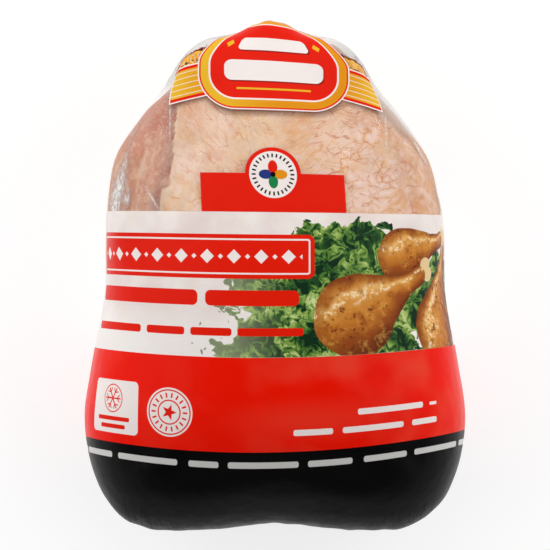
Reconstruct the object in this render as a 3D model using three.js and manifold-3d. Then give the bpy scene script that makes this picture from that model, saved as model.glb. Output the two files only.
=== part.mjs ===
// A whole raw chicken, frozen, in a tight printed film bag that is gathered and clipped behind the legs.
//
// Millimetres. The bird lies on its back: +Z is up through the breast, +Y runs to the leg end and -Y to
// the neck end. The origin is on the surface that the pack rests on, under the middle of its outline.
//
// The bag and the bird in it are one solid, a loft of rings from the neck end to the leg end. The legs,
// the wings, the tail and the hollows between them are low relief on that loft, because the film is drawn
// tight over them. The gathered neck of the bag and its free frill are fused to it. The clip is a piece of
// its own round the neck.
import * as THREE from 'three';
import { mergeVertices } from 'three/addons/utils/BufferGeometryUtils.js';
import Module from 'manifold-3d';

// Driving dimensions.
const LENGTH = 220; // neck end to tail
const WIDTH = 163.4; // over the folded wings
const HEIGHT = 106; // surface to the crest of the breast

// The stations of the loft, from the neck end to the leg end. along is a share of LENGTH from the middle,
// spread is the half width as a share of WIDTH / 2, and crest, equator and sole are heights as shares of
// HEIGHT: the top of the ring, its widest level and its underside. A sole below 0 makes the ring lie flat.
const STATIONS = [
  { name: 'hollow of the neck', along: -0.5, spread: 0, crest: 0.44, equator: 0.44, sole: 0.44 },
  { name: 'wishbone', along: -0.498, spread: 0.6, crest: 0.57, equator: 0.44, sole: 0.32 },
  { name: 'front of the shoulders', along: -0.489, spread: 0.71, crest: 0.65, equator: 0.43, sole: 0.24 },
  { name: 'shoulders', along: -0.466, spread: 0.812, crest: 0.74, equator: 0.43, sole: 0.15 },
  { name: 'wing joints', along: -0.42, spread: 0.911, crest: 0.85, equator: 0.42, sole: 0.05 },
  { name: 'wing elbows', along: -0.355, spread: 0.976, crest: 0.94, equator: 0.41, sole: -0.03 },
  { name: 'widest point of the wings', along: -0.275, spread: 1, crest: 0.985, equator: 0.41, sole: -0.06 },
  { name: 'crest of the breast', along: -0.18, spread: 0.962, crest: 1, equator: 0.42, sole: -0.06 },
  { name: 'wing tips', along: -0.068, spread: 0.918, crest: 0.99, equator: 0.42, sole: -0.06 },
  { name: 'waist', along: 0.045, spread: 0.892, crest: 0.955, equator: 0.42, sole: -0.06 },
  { name: 'knees', along: 0.155, spread: 0.865, crest: 0.895, equator: 0.42, sole: -0.05 },
  { name: 'thighs', along: 0.236, spread: 0.814, crest: 0.84, equator: 0.42, sole: -0.02 },
  { name: 'drumsticks', along: 0.31, spread: 0.688, crest: 0.775, equator: 0.42, sole: 0.04 },
  { name: 'ankles', along: 0.372, spread: 0.548, crest: 0.71, equator: 0.43, sole: 0.12 },
  { name: 'hocks', along: 0.427, spread: 0.44, crest: 0.64, equator: 0.44, sole: 0.22 },
  { name: 'ends of the hocks', along: 0.46, spread: 0.325, crest: 0.56, equator: 0.44, sole: 0.32 },
  { name: 'mouth of the bag', along: 0.473, spread: 0, crest: 0.44, equator: 0.44, sole: 0.44 },
];
const ROUNDNESS_ABOVE = 2.3; // exponent of a ring's outline over its equator: 2 is an ellipse
const ROUNDNESS_BELOW = 2.7; // the same below the equator, where the back is flatter
const LEAN = 2; // how far the leg end leans to -X
const CORE_REACH = 0.3; // the relief points away from a core line that runs this share of LENGTH both ways

// Relief: each entry raises the film by rise along the line from one point to the other, fading over
// reach. The points are x, y and z as shares of WIDTH / 2, LENGTH and HEIGHT.
const RELIEF = [
  { name: 'hollow between the lobes', from: [0, -0.5, 0.75], to: [0, -0.5, 0.2], reach: 19, rise: -3.6 },
  { name: 'groove over the keel', from: [0, -0.42, 0.9], to: [0, -0.2, 1], reach: 9, rise: -1 },
  { name: 'tail', from: [0, 0.473, 0.44], to: [0, 0.465, 0.5], reach: 8, rise: 6.3 },
  { name: 'mouth drawn in by the clip', from: [0, 0.46, 0.31], to: [0, 0.44, 0.24], reach: 8, rise: -4 },
];

// Relief that comes on both sides of the keel.
const PAIRED_RELIEF = [
  { name: 'hock', from: [0.34, 0.43, 0.54], to: [0.4, 0.4, 0.56], reach: 8, rise: 2 },
  { name: 'drumstick', from: [0.42, 0.4, 0.6], to: [0.76, 0.1, 0.66], reach: 9, rise: 2 },
  { name: 'hollow over the leg', from: [0.28, 0.4, 0.72], to: [0.6, 0.14, 0.86], reach: 7, rise: -2.2 },
  { name: 'thigh', from: [0.8, 0.2, 0.3], to: [0.84, 0.06, 0.3], reach: 13, rise: 1.6 },
  { name: 'hollow behind the wing', from: [0.88, 0, 0.3], to: [0.9, -0.04, 0.7], reach: 10, rise: -1 },
  { name: 'folded wing', from: [0.78, -0.4, 0.36], to: [0.95, -0.16, 0.26], reach: 10, rise: 1.8 },
];

const RINGS = 52; // rings between the two poles of the loft
const RING_POINTS = 72; // points round each ring

// The gathered neck of the bag and the frill beyond the clip.
const NECK_PATH = [[0, 90, 36], [0, 96, 34.5], [0, 100, 31], [0, 101.4, 26], [0, 101.4, 22], [0, 101, 16.5]];
const NECK_RADIUS = 4; // of the bundle of film in the clip
const NECK_FOLDS = 7; // folds that show round the bundle
const NECK_FOLD_DEPTH = 0.35;
const FRILL_LINE = [[101.2, 18.5], [103, 6], [86, 2.8]]; // y and z of the sheet as it bends under the bird
const FRILL_ROOT_HALF = 3.2; // half its width where it leaves the bundle
const FRILL_HEM_HALF = 24;
const FRILL_FLARE = 0.8; // below 1 it widens most near the bundle
const FRILL_PLEATS = 7;
const FRILL_PLEAT_DEPTH = 3.6; // at the hem
const FRILL_ROOT_WALL = 1.9;
const FRILL_WALL = 0.8;
const FRILL_ROWS = 10; // from the bundle to the hem

// The clip: a flat metal strip bent shut round the neck.
const CLIP_CENTRE = [0, 101.4, 22.5];
const CLIP_GAP = 0.35; // between the film and the clip
const CLIP_WALL = 1.9;
const CLIP_STRETCH = 1.12; // its width across the neck, against its depth
const CLIP_HEIGHT = 3;
const CLIP_EDGE = 0.4;

const film = new THREE.MeshStandardMaterial({ color: 0xd8241a, roughness: 0.35, metalness: 0 });
const metal = new THREE.MeshStandardMaterial({ color: 0xc8cacc, roughness: 0.3, metalness: 1 });

const { lerp, smoothstep, clamp } = THREE.MathUtils;

// ---- The loft ----------------------------------------------------------------------------------------

// A station in millimetres.
function inMillimetres({ along, spread, crest, equator, sole }) {
  return {
    y: along * LENGTH,
    half: (spread * WIDTH) / 2,
    crest: crest * HEIGHT,
    equator: equator * HEIGHT,
    sole: sole * HEIGHT,
  };
}

// The station next to a pole, as the surface passes through the pole and out on the other side.
function throughPole({ y, half, crest, equator, sole }) {
  return { y, half: -half, crest: sole, equator, sole: crest };
}

// Rings at even steps along the profile. Between stations each value runs on a cubic Hermite curve whose
// knots are the distances along the outline.
function rings() {
  const stations = STATIONS.map(inMillimetres);
  const all = [throughPole(stations[1]), ...stations, throughPole(stations.at(-2))];
  const knots = [0];
  for (let i = 1; i < all.length; i++)
    knots.push(knots[i - 1] + Math.hypot(all[i].y - all[i - 1].y, all[i].half - all[i - 1].half));
  const slope = (key, i) => (all[i + 1][key] - all[i - 1][key]) / (knots[i + 1] - knots[i - 1]);
  const between = (key, i, distance) => {
    const span = knots[i + 1] - knots[i];
    const t = (distance - knots[i]) / span;
    return (
      all[i][key] * (1 + 2 * t) * (1 - t) ** 2 +
      slope(key, i) * span * t * (1 - t) ** 2 +
      all[i + 1][key] * t * t * (3 - 2 * t) +
      slope(key, i + 1) * span * t * t * (t - 1)
    );
  };
  return Array.from({ length: RINGS + 2 }, (_, ring) => {
    const distance = lerp(knots[1], knots.at(-2), ring / (RINGS + 1));
    let i = 1;
    while (i < all.length - 3 && knots[i + 1] < distance) i++;
    return Object.fromEntries(Object.keys(all[1]).map((key) => [key, between(key, i, distance)]));
  });
}

// The distance from the middle of a ring to its outline at an angle from straight up.
function ringRadius({ half, crest, equator, sole }, angle) {
  const up = Math.cos(angle) >= 0;
  const rise = up ? crest - equator : equator - sole;
  const n = up ? ROUNDNESS_ABOVE : ROUNDNESS_BELOW;
  return (Math.abs(Math.sin(angle) / half) ** n + Math.abs(Math.cos(angle) / rise) ** n) ** (-1 / n);
}

// All the relief as lines in millimetres.
function reliefLines() {
  const line = ({ from, to, reach, rise }, side) => {
    const place = ([x, y, z]) => new THREE.Vector3((side * x * WIDTH) / 2, y * LENGTH, z * HEIGHT);
    return { line: new THREE.Line3(place(from), place(to)), reach, rise };
  };
  return [
    ...RELIEF.map((entry) => line(entry, 1)),
    ...PAIRED_RELIEF.flatMap((entry) => [line(entry, 1), line(entry, -1)]),
  ];
}

// A point of the loft with its relief, laid flat where it would pass below the surface that it rests on.
function onBag(ring, angle, relief) {
  const radius = ring.half > 0 ? ringRadius(ring, angle) : 0;
  const point = new THREE.Vector3(radius * Math.sin(angle), ring.y, ring.equator + radius * Math.cos(angle));
  const core = new THREE.Vector3(0, clamp(ring.y, -CORE_REACH * LENGTH, CORE_REACH * LENGTH), ring.equator);
  const outward = point.clone().sub(core).normalize();
  const nearest = new THREE.Vector3();
  const total = relief.reduce((sum, { line, reach, rise }) => {
    const away = line.closestPointToPoint(point, true, nearest).distanceTo(point);
    return sum + rise * Math.exp(-0.5 * (away / reach) ** 2);
  }, 0);
  point.addScaledVector(outward, total);
  point.x -= LEAN * smoothstep(point.y, 0.05 * LENGTH, 0.3 * LENGTH);
  point.z = Math.max(point.z, 0);
  return point;
}

function bagGeometry() {
  const relief = reliefLines();
  const all = rings();
  const points = [onBag({ ...all[0], half: 0 }, 0, relief)];
  for (const ring of all.slice(1, -1))
    for (let k = 0; k < RING_POINTS; k++) points.push(onBag(ring, (2 * Math.PI * k) / RING_POINTS, relief));
  points.push(onBag({ ...all.at(-1), half: 0 }, 0, relief));
  const at = (ring, k) => 1 + ring * RING_POINTS + (k % RING_POINTS);
  const index = [];
  for (let k = 0; k < RING_POINTS; k++) {
    index.push(0, at(0, k + 1), at(0, k));
    for (let ring = 0; ring < RINGS - 1; ring++) {
      const [a, b, c, d] = [at(ring, k), at(ring, k + 1), at(ring + 1, k + 1), at(ring + 1, k)];
      index.push(a, b, c, a, c, d);
    }
    index.push(at(RINGS - 1, k), at(RINGS - 1, k + 1), points.length - 1);
  }
  return new THREE.BufferGeometry().setFromPoints(points).setIndex(index);
}

// ---- The closure -------------------------------------------------------------------------------------

const onNeck = ([x, y, z]) => new THREE.Vector3(x - LEAN, y, z);

// The bundle of film: a folded section swept along the neck.
function neckGeometry() {
  const section = new THREE.Shape(
    Array.from({ length: 4 * NECK_FOLDS }, (_, k) => {
      const angle = (2 * Math.PI * k) / (4 * NECK_FOLDS);
      const radius = NECK_RADIUS - NECK_FOLD_DEPTH * (1 - Math.cos(NECK_FOLDS * angle));
      return new THREE.Vector2(radius * Math.cos(angle), radius * Math.sin(angle));
    }),
  );
  const path = new THREE.CatmullRomCurve3(NECK_PATH.map(onNeck));
  return new THREE.ExtrudeGeometry(section, { steps: 16, extrudePath: path });
}

// The frill: a pleated sheet that fans out from the bundle to its hem. across runs from -1 to 1 and down
// from 0 at the bundle to 1 at the hem. side is 1 on the face that looks away from the bird, -1 on the other.
const frillLine = new THREE.QuadraticBezierCurve(...FRILL_LINE.map(([y, z]) => new THREE.Vector2(y, z)));

function onFrill(across, down, side) {
  const half = lerp(FRILL_ROOT_HALF, FRILL_HEM_HALF, down ** FRILL_FLARE);
  const pleat = (Math.cos(Math.PI * FRILL_PLEATS * across) * FRILL_PLEAT_DEPTH * down) / 2;
  const wall = (side * lerp(FRILL_ROOT_WALL, FRILL_WALL, smoothstep(down, 0, 0.5))) / 2;
  const middle = frillLine.getPoint(down);
  const along = frillLine.getTangent(down);
  const outward = new THREE.Vector2(-along.y, along.x).multiplyScalar(pleat + wall);
  return new THREE.Vector3(half * across - LEAN, middle.x + outward.x, middle.y + outward.y);
}

function frillGeometry() {
  const columns = 6 * FRILL_PLEATS;
  const rows = FRILL_ROWS;
  const points = [];
  for (const side of [1, -1])
    for (let r = 0; r <= rows; r++)
      for (let c = 0; c <= columns; c++) points.push(onFrill((2 * c) / columns - 1, r / rows, side));
  const at = (side, r, c) => (side * (rows + 1) + r) * (columns + 1) + c;
  const index = [];
  const quad = (a, b, c, d) => index.push(a, b, c, a, c, d);
  for (let r = 0; r < rows; r++)
    for (let c = 0; c < columns; c++) {
      quad(at(0, r, c), at(0, r, c + 1), at(0, r + 1, c + 1), at(0, r + 1, c));
      quad(at(1, r, c), at(1, r + 1, c), at(1, r + 1, c + 1), at(1, r, c + 1));
    }
  for (let c = 0; c < columns; c++) {
    quad(at(0, 0, c + 1), at(0, 0, c), at(1, 0, c), at(1, 0, c + 1));
    quad(at(0, rows, c), at(0, rows, c + 1), at(1, rows, c + 1), at(1, rows, c));
  }
  for (let r = 0; r < rows; r++) {
    quad(at(0, r, 0), at(0, r + 1, 0), at(1, r + 1, 0), at(1, r, 0));
    quad(at(0, r + 1, columns), at(0, r, columns), at(1, r, columns), at(1, r + 1, columns));
  }
  return new THREE.BufferGeometry().setFromPoints(points).setIndex(index);
}

// The clip lies across the neck, its hole just wider than the bundle.
function clipGeometry() {
  const inner = NECK_RADIUS + CLIP_GAP;
  const outer = inner + CLIP_WALL;
  const ring = new THREE.Shape().absellipse(0, 0, outer * CLIP_STRETCH, outer, 0, 2 * Math.PI);
  ring.holes.push(new THREE.Path().absarc(0, 0, inner, 0, 2 * Math.PI, true));
  return new THREE.ExtrudeGeometry(ring, {
    depth: CLIP_HEIGHT - 2 * CLIP_EDGE,
    curveSegments: 14,
    bevelThickness: CLIP_EDGE,
    bevelSize: CLIP_EDGE,
    bevelOffset: -CLIP_EDGE,
    bevelSegments: 1,
  }).translate(0, 0, CLIP_EDGE - CLIP_HEIGHT / 2);
}

// ---- Joining -----------------------------------------------------------------------------------------

const wasm = await Module();
wasm.setup();

function solidOf(geometry) {
  const bare = geometry.clone().deleteAttribute('normal').deleteAttribute('uv');
  const merged = mergeVertices(bare, 1e-3);
  return new wasm.Manifold(
    new wasm.Mesh({
      numProp: 3,
      vertProperties: merged.getAttribute('position').array,
      triVerts: new Uint32Array(merged.index.array),
    }),
  );
}

function geometryOf(solid) {
  const { vertProperties, triVerts } = solid.getMesh();
  return new THREE.BufferGeometry()
    .setAttribute('position', new THREE.BufferAttribute(vertProperties, 3))
    .setIndex(new THREE.BufferAttribute(triVerts, 1));
}

// The pieces share one shift that puts the middle of the bag's outline over the origin.
function build() {
  const [bag, neck, frill] = [bagGeometry(), neckGeometry(), frillGeometry()].map(solidOf);
  const bagged = geometryOf(bag.add(neck).add(frill));
  bagged.computeBoundingBox();
  const middle = bagged.boundingBox.getCenter(new THREE.Vector3());

  const pack = new THREE.Group();
  pack.position.set(-middle.x, -middle.y, 0);

  const chicken = new THREE.Mesh(bagged, film);
  chicken.name = 'bagged_chicken';
  const clip = new THREE.Mesh(clipGeometry(), metal);
  clip.name = 'clip';
  clip.position.copy(onNeck(CLIP_CENTRE));
  pack.add(chicken, clip);

  return new THREE.Group().add(pack);
}

export default build();
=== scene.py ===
"""A whole raw chicken, frozen, in a tight film bag that is clear over the legs and printed over the breast.

The bag's solid gives way to the film, the bird inside it, the gathered neck of the film and the frill
beyond the clip, and the clip's solid to a bent strip.

Everything is in metres in the frame of the pack: +Z up through the breast, +Y to the leg end. The film and
the bird are the same loft of rings. The bird leaves the film where that bridges a hollow.
"""

from __future__ import annotations

import logging
from dataclasses import dataclass
from enum import Enum
from functools import reduce
from math import cos, radians, sin
from typing import Callable, Sequence

import bpy
import numpy as np
from bpy.types import Material, Node, NodeSocket, Object, World
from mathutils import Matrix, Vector


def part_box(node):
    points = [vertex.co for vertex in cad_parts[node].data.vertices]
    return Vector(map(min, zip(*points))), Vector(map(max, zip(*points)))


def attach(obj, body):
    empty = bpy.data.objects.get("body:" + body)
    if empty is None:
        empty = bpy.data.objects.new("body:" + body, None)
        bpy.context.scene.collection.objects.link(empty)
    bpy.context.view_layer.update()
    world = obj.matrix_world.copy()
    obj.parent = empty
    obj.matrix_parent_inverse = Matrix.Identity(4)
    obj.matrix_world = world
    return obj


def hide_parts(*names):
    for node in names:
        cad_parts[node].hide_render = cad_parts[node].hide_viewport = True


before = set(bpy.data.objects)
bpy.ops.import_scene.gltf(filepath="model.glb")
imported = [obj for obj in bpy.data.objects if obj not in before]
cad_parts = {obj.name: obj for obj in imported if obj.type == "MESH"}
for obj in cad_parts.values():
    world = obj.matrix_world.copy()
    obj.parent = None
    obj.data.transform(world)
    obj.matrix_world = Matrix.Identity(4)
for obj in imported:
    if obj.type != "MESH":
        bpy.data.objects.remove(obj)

log = logging.getLogger("chicken")

MM = 0.001
BAG_NODE = "bagged_chicken"
CLIP_NODE = "clip"
PRINT_UV = "Print"

# The least divisor, the heights where the upper side begins and is whole, and the height of the seam.
LEAST = 1e-7
UPPER_SIDE = (0.03, 0.045)
SEAM_HEIGHT = 0.047

FILM_SEED = 7
BIRD_SEED = 21
FOLLICLE_SEED = 11
FRILL_SEED = 3

Array = np.ndarray
Pair = tuple[float, float]
Triple = tuple[float, float, float]
Colour = tuple[float, float, float, float]
Tone = tuple[float, Colour]


def srgb(red: int, green: int, blue: int) -> Colour:
    """Turn a colour in display bytes, from 0 to 255, into linear light with an alpha of 1."""
    line = [c / 255 for c in (red, green, blue)]
    return (*(c / 12.92 if c <= 0.04045 else ((c + 0.055) / 1.055) ** 2.4 for c in line), 1.0)


def smoothstep(x: Array, low: float, high: float) -> Array:
    """Rise from 0 at low to 1 at high as 3t^2 - 2t^3."""
    t = np.clip((x - low) / (high - low), 0, 1)
    return t * t * (3 - 2 * t)


def upper_side(points: Array) -> Array:
    """How far each point belongs to the upper side, from 0 to 1, by its height."""
    return smoothstep(points[..., 2], *UPPER_SIDE)


def hermite(knots: Array, rows: Array, slopes: Array, at: Array, ends: tuple[int, int]) -> Array:
    """Read cubic Hermite curves between knots.

    At a share t of a span s, between values p and q with slopes m and n, the value is
    p (1 + 2t)(1 - t)^2 + m s t (1 - t)^2 + q t^2 (3 - 2t) + n s t^2 (t - 1).

    Args:
        knots: Rising places of the knots.
        rows, slopes: Values and slopes at the knots, one row each.
        at: Places to read.
        ends: Numbers of the first and the last stretch in use.

    Returns:
        One row of values for each place.
    """
    i = np.clip(np.searchsorted(knots, at, side="right") - 1, *ends)
    span = (knots[i + 1] - knots[i])[:, None]
    t = (at - knots[i])[:, None] / span
    return (
        rows[i] * (1 + 2 * t) * (1 - t) ** 2
        + slopes[i] * span * t * (1 - t) ** 2
        + rows[i + 1] * t * t * (3 - 2 * t)
        + slopes[i + 1] * span * t * t * (t - 1)
    )


# ---- Form ----


@dataclass(frozen=True)
class Station:
    """One ring of the loft, in shares of the length, half the width and the height.

    crest, equator and sole are the heights of its top, its widest level and its underside.
    """

    along: float
    spread: float
    crest: float
    equator: float
    sole: float


@dataclass(frozen=True)
class Ridge:
    """Relief along a line, which fades beside it over reach; a hollow where rise is negative.

    The ends are shares of half the width, the length and the height. A paired ridge comes on both sides.
    """

    start: Triple
    end: Triple
    reach: float
    rise: float
    paired: bool = False


@dataclass(frozen=True)
class PlanLine:
    """A line seen from above, drawn on the upper side alone: points in metres, its width and its rise."""

    points: tuple[Pair, ...]
    width: float
    rise: float

    def relief(self, points: Array) -> Array:
        """The rise at each point, which falls off beside the line as a Gaussian."""
        away = plan_distance(points[..., 0], points[..., 1], np.array(self.points))
        return self.rise * np.exp(-0.5 * (away / self.width) ** 2)


def plan_distance(x: Array, y: Array, path: Array) -> Array:
    """Measure how far points lie from a polyline in plan, by their clamped projection on each segment.

    Args:
        x, y: Places of the points.
        path: Corners of the polyline, one row each.

    Returns:
        The distances, in the shape of x.
    """
    best = np.full(np.shape(x), np.inf)
    for (ax, ay), (bx, by) in zip(path[:-1], path[1:]):
        dx, dy = bx - ax, by - ay
        share = np.clip(((x - ax) * dx + (y - ay) * dy) / (dx * dx + dy * dy), 0, 1)
        best = np.minimum(best, np.hypot(x - ax - share * dx, y - ay - share * dy))
    return best


class Grain:
    """A smooth random field in space on a lattice of SIZE cells, the same in every run.

    OFFSET keeps the numbers of the cells in use above 0.
    """

    SIZE = 64
    OFFSET = 100.0

    def __init__(self, seed: int) -> None:
        """Fill the lattice with seeded values from -1 to 1."""
        self.lattice = np.random.default_rng(seed).uniform(-1, 1, (self.SIZE,) * 3)

    def at(self, points: Array, size: float) -> Array:
        """Read the field: the eight corners of the cell, mixed by 3t^2 - 2t^3 along each axis.

        Args:
            points: Places in metres, with x, y and z on the last axis.
            size: Width of a lattice cell in metres.

        Returns:
            Values from -1 to 1.
        """
        scaled = points / size + self.OFFSET
        cell = np.floor(scaled).astype(int)
        t = scaled - cell
        t = t * t * (3 - 2 * t)
        total = np.zeros(points.shape[:-1])
        for corner in np.ndindex(2, 2, 2):
            weight = np.prod(np.where(corner, t, 1 - t), axis=-1)
            index = (cell + corner) % self.SIZE
            total += weight * self.lattice[index[..., 0], index[..., 1], index[..., 2]]
        return total


@dataclass
class PackForm:
    """The outer form of the bag with the bird in it, as a loft of rings.

    Roundness is the exponent of a ring's superellipse. The leg end leans aside, which comes in between
    two shares of the length. core_reach is half the core line, as a share of the length.
    """

    length: float = 0.220
    width: float = 0.1634
    height: float = 0.106
    roundness_above: float = 2.3
    roundness_below: float = 2.7
    lean: float = 0.002
    lean_between: Pair = (0.05, 0.3)
    core_reach: float = 0.3
    table_steps: int = 4000
    fit_grid: tuple[int, int] = (300, 361)
    stations: tuple[Station, ...] = (
        Station(-0.5, 0, 0.44, 0.44, 0.44),
        Station(-0.498, 0.6, 0.57, 0.44, 0.32),
        Station(-0.489, 0.71, 0.65, 0.43, 0.24),
        Station(-0.466, 0.812, 0.74, 0.43, 0.15),
        Station(-0.42, 0.911, 0.85, 0.42, 0.05),
        Station(-0.355, 0.976, 0.94, 0.41, -0.03),
        Station(-0.275, 1, 0.985, 0.41, -0.06),
        Station(-0.18, 0.962, 1, 0.42, -0.06),
        Station(-0.068, 0.918, 0.99, 0.42, -0.06),
        Station(0.045, 0.892, 0.955, 0.42, -0.06),
        Station(0.155, 0.865, 0.895, 0.42, -0.05),
        Station(0.236, 0.814, 0.84, 0.42, -0.02),
        Station(0.31, 0.688, 0.775, 0.42, 0.04),
        Station(0.372, 0.548, 0.71, 0.43, 0.12),
        Station(0.427, 0.44, 0.64, 0.44, 0.22),
        Station(0.46, 0.325, 0.56, 0.44, 0.32),
        Station(0.473, 0, 0.44, 0.44, 0.44),
    )
    ridges: tuple[Ridge, ...] = (
        Ridge((0, -0.5, 0.75), (0, -0.5, 0.2), 0.019, -0.0036),
        Ridge((0, -0.42, 0.9), (0, -0.2, 1), 0.009, -0.001),
        Ridge((0, 0.473, 0.44), (0, 0.465, 0.5), 0.008, 0.0063),
        Ridge((0, 0.46, 0.31), (0, 0.44, 0.24), 0.008, -0.004),
        Ridge((0.34, 0.43, 0.54), (0.4, 0.4, 0.56), 0.008, 0.002, paired=True),
        Ridge((0.42, 0.4, 0.6), (0.76, 0.1, 0.66), 0.009, 0.002, paired=True),
        Ridge((0.28, 0.4, 0.72), (0.6, 0.14, 0.86), 0.007, -0.0022, paired=True),
        Ridge((0.8, 0.2, 0.3), (0.84, 0.06, 0.3), 0.013, 0.0016, paired=True),
        Ridge((0.88, 0, 0.3), (0.9, -0.04, 0.7), 0.01, -0.001, paired=True),
        Ridge((0.78, -0.4, 0.36), (0.95, -0.16, 0.26), 0.01, 0.0018, paired=True),
    )

    def __post_init__(self) -> None:
        """Turn the stations into metres and lay knots along the outline."""
        scale = np.array([self.length, self.width / 2, self.height, self.height, self.height])
        rows = np.array([[s.along, s.spread, s.crest, s.equator, s.sole] for s in self.stations]) * scale
        through_pole = [0, 1, 4, 3, 2]
        mirror = np.array([1, -1, 1, 1, 1])
        self.rows = np.vstack([rows[1][through_pole] * mirror, rows, rows[-2][through_pole] * mirror])
        steps = np.hypot(np.diff(self.rows[:, 0]), np.diff(self.rows[:, 1]))
        self.knots = np.concatenate([[0], np.cumsum(steps)])
        self.slopes = np.zeros_like(self.rows)
        self.slopes[1:-1] = (self.rows[2:] - self.rows[:-2]) / (self.knots[2:] - self.knots[:-2])[:, None]
        self.shift = np.zeros(3)

    def profile(self, distance: Array) -> Array:
        """Y, half width, crest, equator and sole at places along the outline, on Hermite curves."""
        return hermite(self.knots, self.rows, self.slopes, distance, (1, len(self.knots) - 3))

    def distance_at(self, y: Array) -> Array:
        """The place along the outline where the loft reaches each y."""
        fine = np.linspace(self.knots[1], self.knots[-2], self.table_steps)
        return np.interp(y, self.profile(fine)[:, 0], fine)

    def raised(self, points: Array, ridges: Sequence[Ridge]) -> Array:
        """Sum the rises of ridges, each a Gaussian of the distance from its line.

        Args:
            points: Places before the form is moved to its box.
            ridges: The ridges.

        Returns:
            The rise at each point.
        """
        scale = np.array([self.width / 2, self.length, self.height])
        total = np.zeros(points.shape[:-1])
        for ridge in ridges:
            for side in (1, -1) if ridge.paired else (1,):
                start = np.array(ridge.start) * scale * (side, 1, 1)
                line = np.array(ridge.end) * scale * (side, 1, 1) - start
                share = np.clip(((points - start) @ line) / (line @ line), 0, 1)
                away = np.linalg.norm(points - start - share[..., None] * line, axis=-1)
                total += ridge.rise * np.exp(-0.5 * (away / ridge.reach) ** 2)
        return total

    def surface(self, distance: Array, angle: Array) -> tuple[Array, Array, Array]:
        """Work out the loft on a grid.

        A ring is a superellipse, |sin a / h|^n + |cos a / r|^n = R^-n with radius R at angle a, half width
        h and rise r. The ridges then move each point away from a core line.

        Args:
            distance: Places along the outline, one for each ring.
            angle: Angles from straight up, one for each point of a ring.

        Returns:
            The points, the outward directions away from the core, and x over the ring's half width.
        """
        y, half, crest, equator, sole = (column[:, None] for column in self.profile(distance).T)
        up = np.cos(angle) >= 0
        rise = np.maximum(np.where(up, crest - equator, equator - sole), LEAST)
        n = np.where(up, self.roundness_above, self.roundness_below)
        half = np.maximum(half, LEAST)
        radius = (np.abs(np.sin(angle) / half) ** n + np.abs(np.cos(angle) / rise) ** n) ** (-1 / n)
        y = y + 0 * radius
        points = np.stack([radius * np.sin(angle), y, equator + radius * np.cos(angle)], axis=-1)
        limit = self.core_reach * self.length
        core = np.stack([0 * radius, np.clip(y, -limit, limit), equator + 0 * radius], axis=-1)
        outward = points - core
        outward /= np.linalg.norm(outward, axis=-1, keepdims=True)
        across = radius * np.sin(angle) / half
        points = points + outward * self.raised(points, self.ridges)[..., None]
        swing_from, swing_to = self.lean_between
        swing = smoothstep(points[..., 1], swing_from * self.length, swing_to * self.length)
        points[..., 0] -= self.lean * swing
        points[..., 2] = np.maximum(points[..., 2], 0)
        return points + self.shift, outward, across

    def poles(self) -> tuple[Array, Array]:
        """The end points of the loft, at the neck end and at the leg end."""
        points, _, _ = self.surface(self.knots[[1, -2]], np.zeros((1, 1)))
        return points[0, 0], points[1, 0]

    def fit(self, low: Vector, high: Vector) -> None:
        """Move the loft so that its middle in plan is the middle of a box.

        Args:
            low, high: The least and the greatest corner of the box.
        """
        rings, columns = self.fit_grid
        points, _, _ = self.surface(
            np.linspace(self.knots[1], self.knots[-2], rings), np.linspace(-np.pi, np.pi, columns)[None, :]
        )
        middle = (points.reshape(-1, 3).min(0) + points.reshape(-1, 3).max(0)) / 2
        self.shift = np.array([(low[0] + high[0]) / 2 - middle[0], (low[1] + high[1]) / 2 - middle[1], 0.0])


@dataclass(frozen=True)
class GridSpacing:
    """How the rings and their points are spread.

    fine_share of the rings lie beyond y = fine_from, and the points crowd to the top by top_share.
    """

    rings: int
    ring_points: int
    fine_from: float
    fine_share: float
    top_share: float

    def distances(self, form: PackForm) -> Array:
        """Spread the rings: evenly up to fine_from and, at a smaller step, evenly beyond it.

        Args:
            form: The loft.

        Returns:
            Places along the outline, without the two ends.
        """
        first, last = form.knots[1], form.knots[-2]
        middle = float(form.distance_at(np.array([self.fine_from]))[0])
        fine = int(self.rings * self.fine_share)
        coarse = np.linspace(first, middle, self.rings - fine, endpoint=False)
        return np.concatenate([coarse, np.linspace(middle, last, fine)])[1:-1]

    def angles(self) -> Array:
        """Angles from -pi to pi, denser about straight up: a = t - k sin t with t in even steps."""
        t = np.linspace(-np.pi, np.pi, self.ring_points + 1)
        return (t - self.top_share * np.sin(t))[None, :]


def mesh_object(name: str, points: Array, faces: list[Array], uv: Array | None = None) -> Object:
    """Make an object from arrays, shaded smooth.

    Args:
        name: Name of the piece.
        points: One row for each vertex.
        faces: Arrays of corner indices, each of one face size.
        uv: One row for each corner of every face in turn, or None.

    Returns:
        The object, at the origin and in the scene.
    """
    mesh = bpy.data.meshes.new(name)
    mesh.from_pydata(points.tolist(), [], [row for block in faces for row in block.tolist()])
    mesh.polygons.foreach_set("use_smooth", np.ones(len(mesh.polygons), dtype=bool))
    if uv is not None:
        layer = mesh.uv_layers.new(name=PRINT_UV)
        layer.data.foreach_set("uv", uv.astype(np.float32).ravel())
    mesh.update()
    obj = bpy.data.objects.new(name, mesh)
    bpy.context.scene.collection.objects.link(obj)
    return obj


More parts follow.
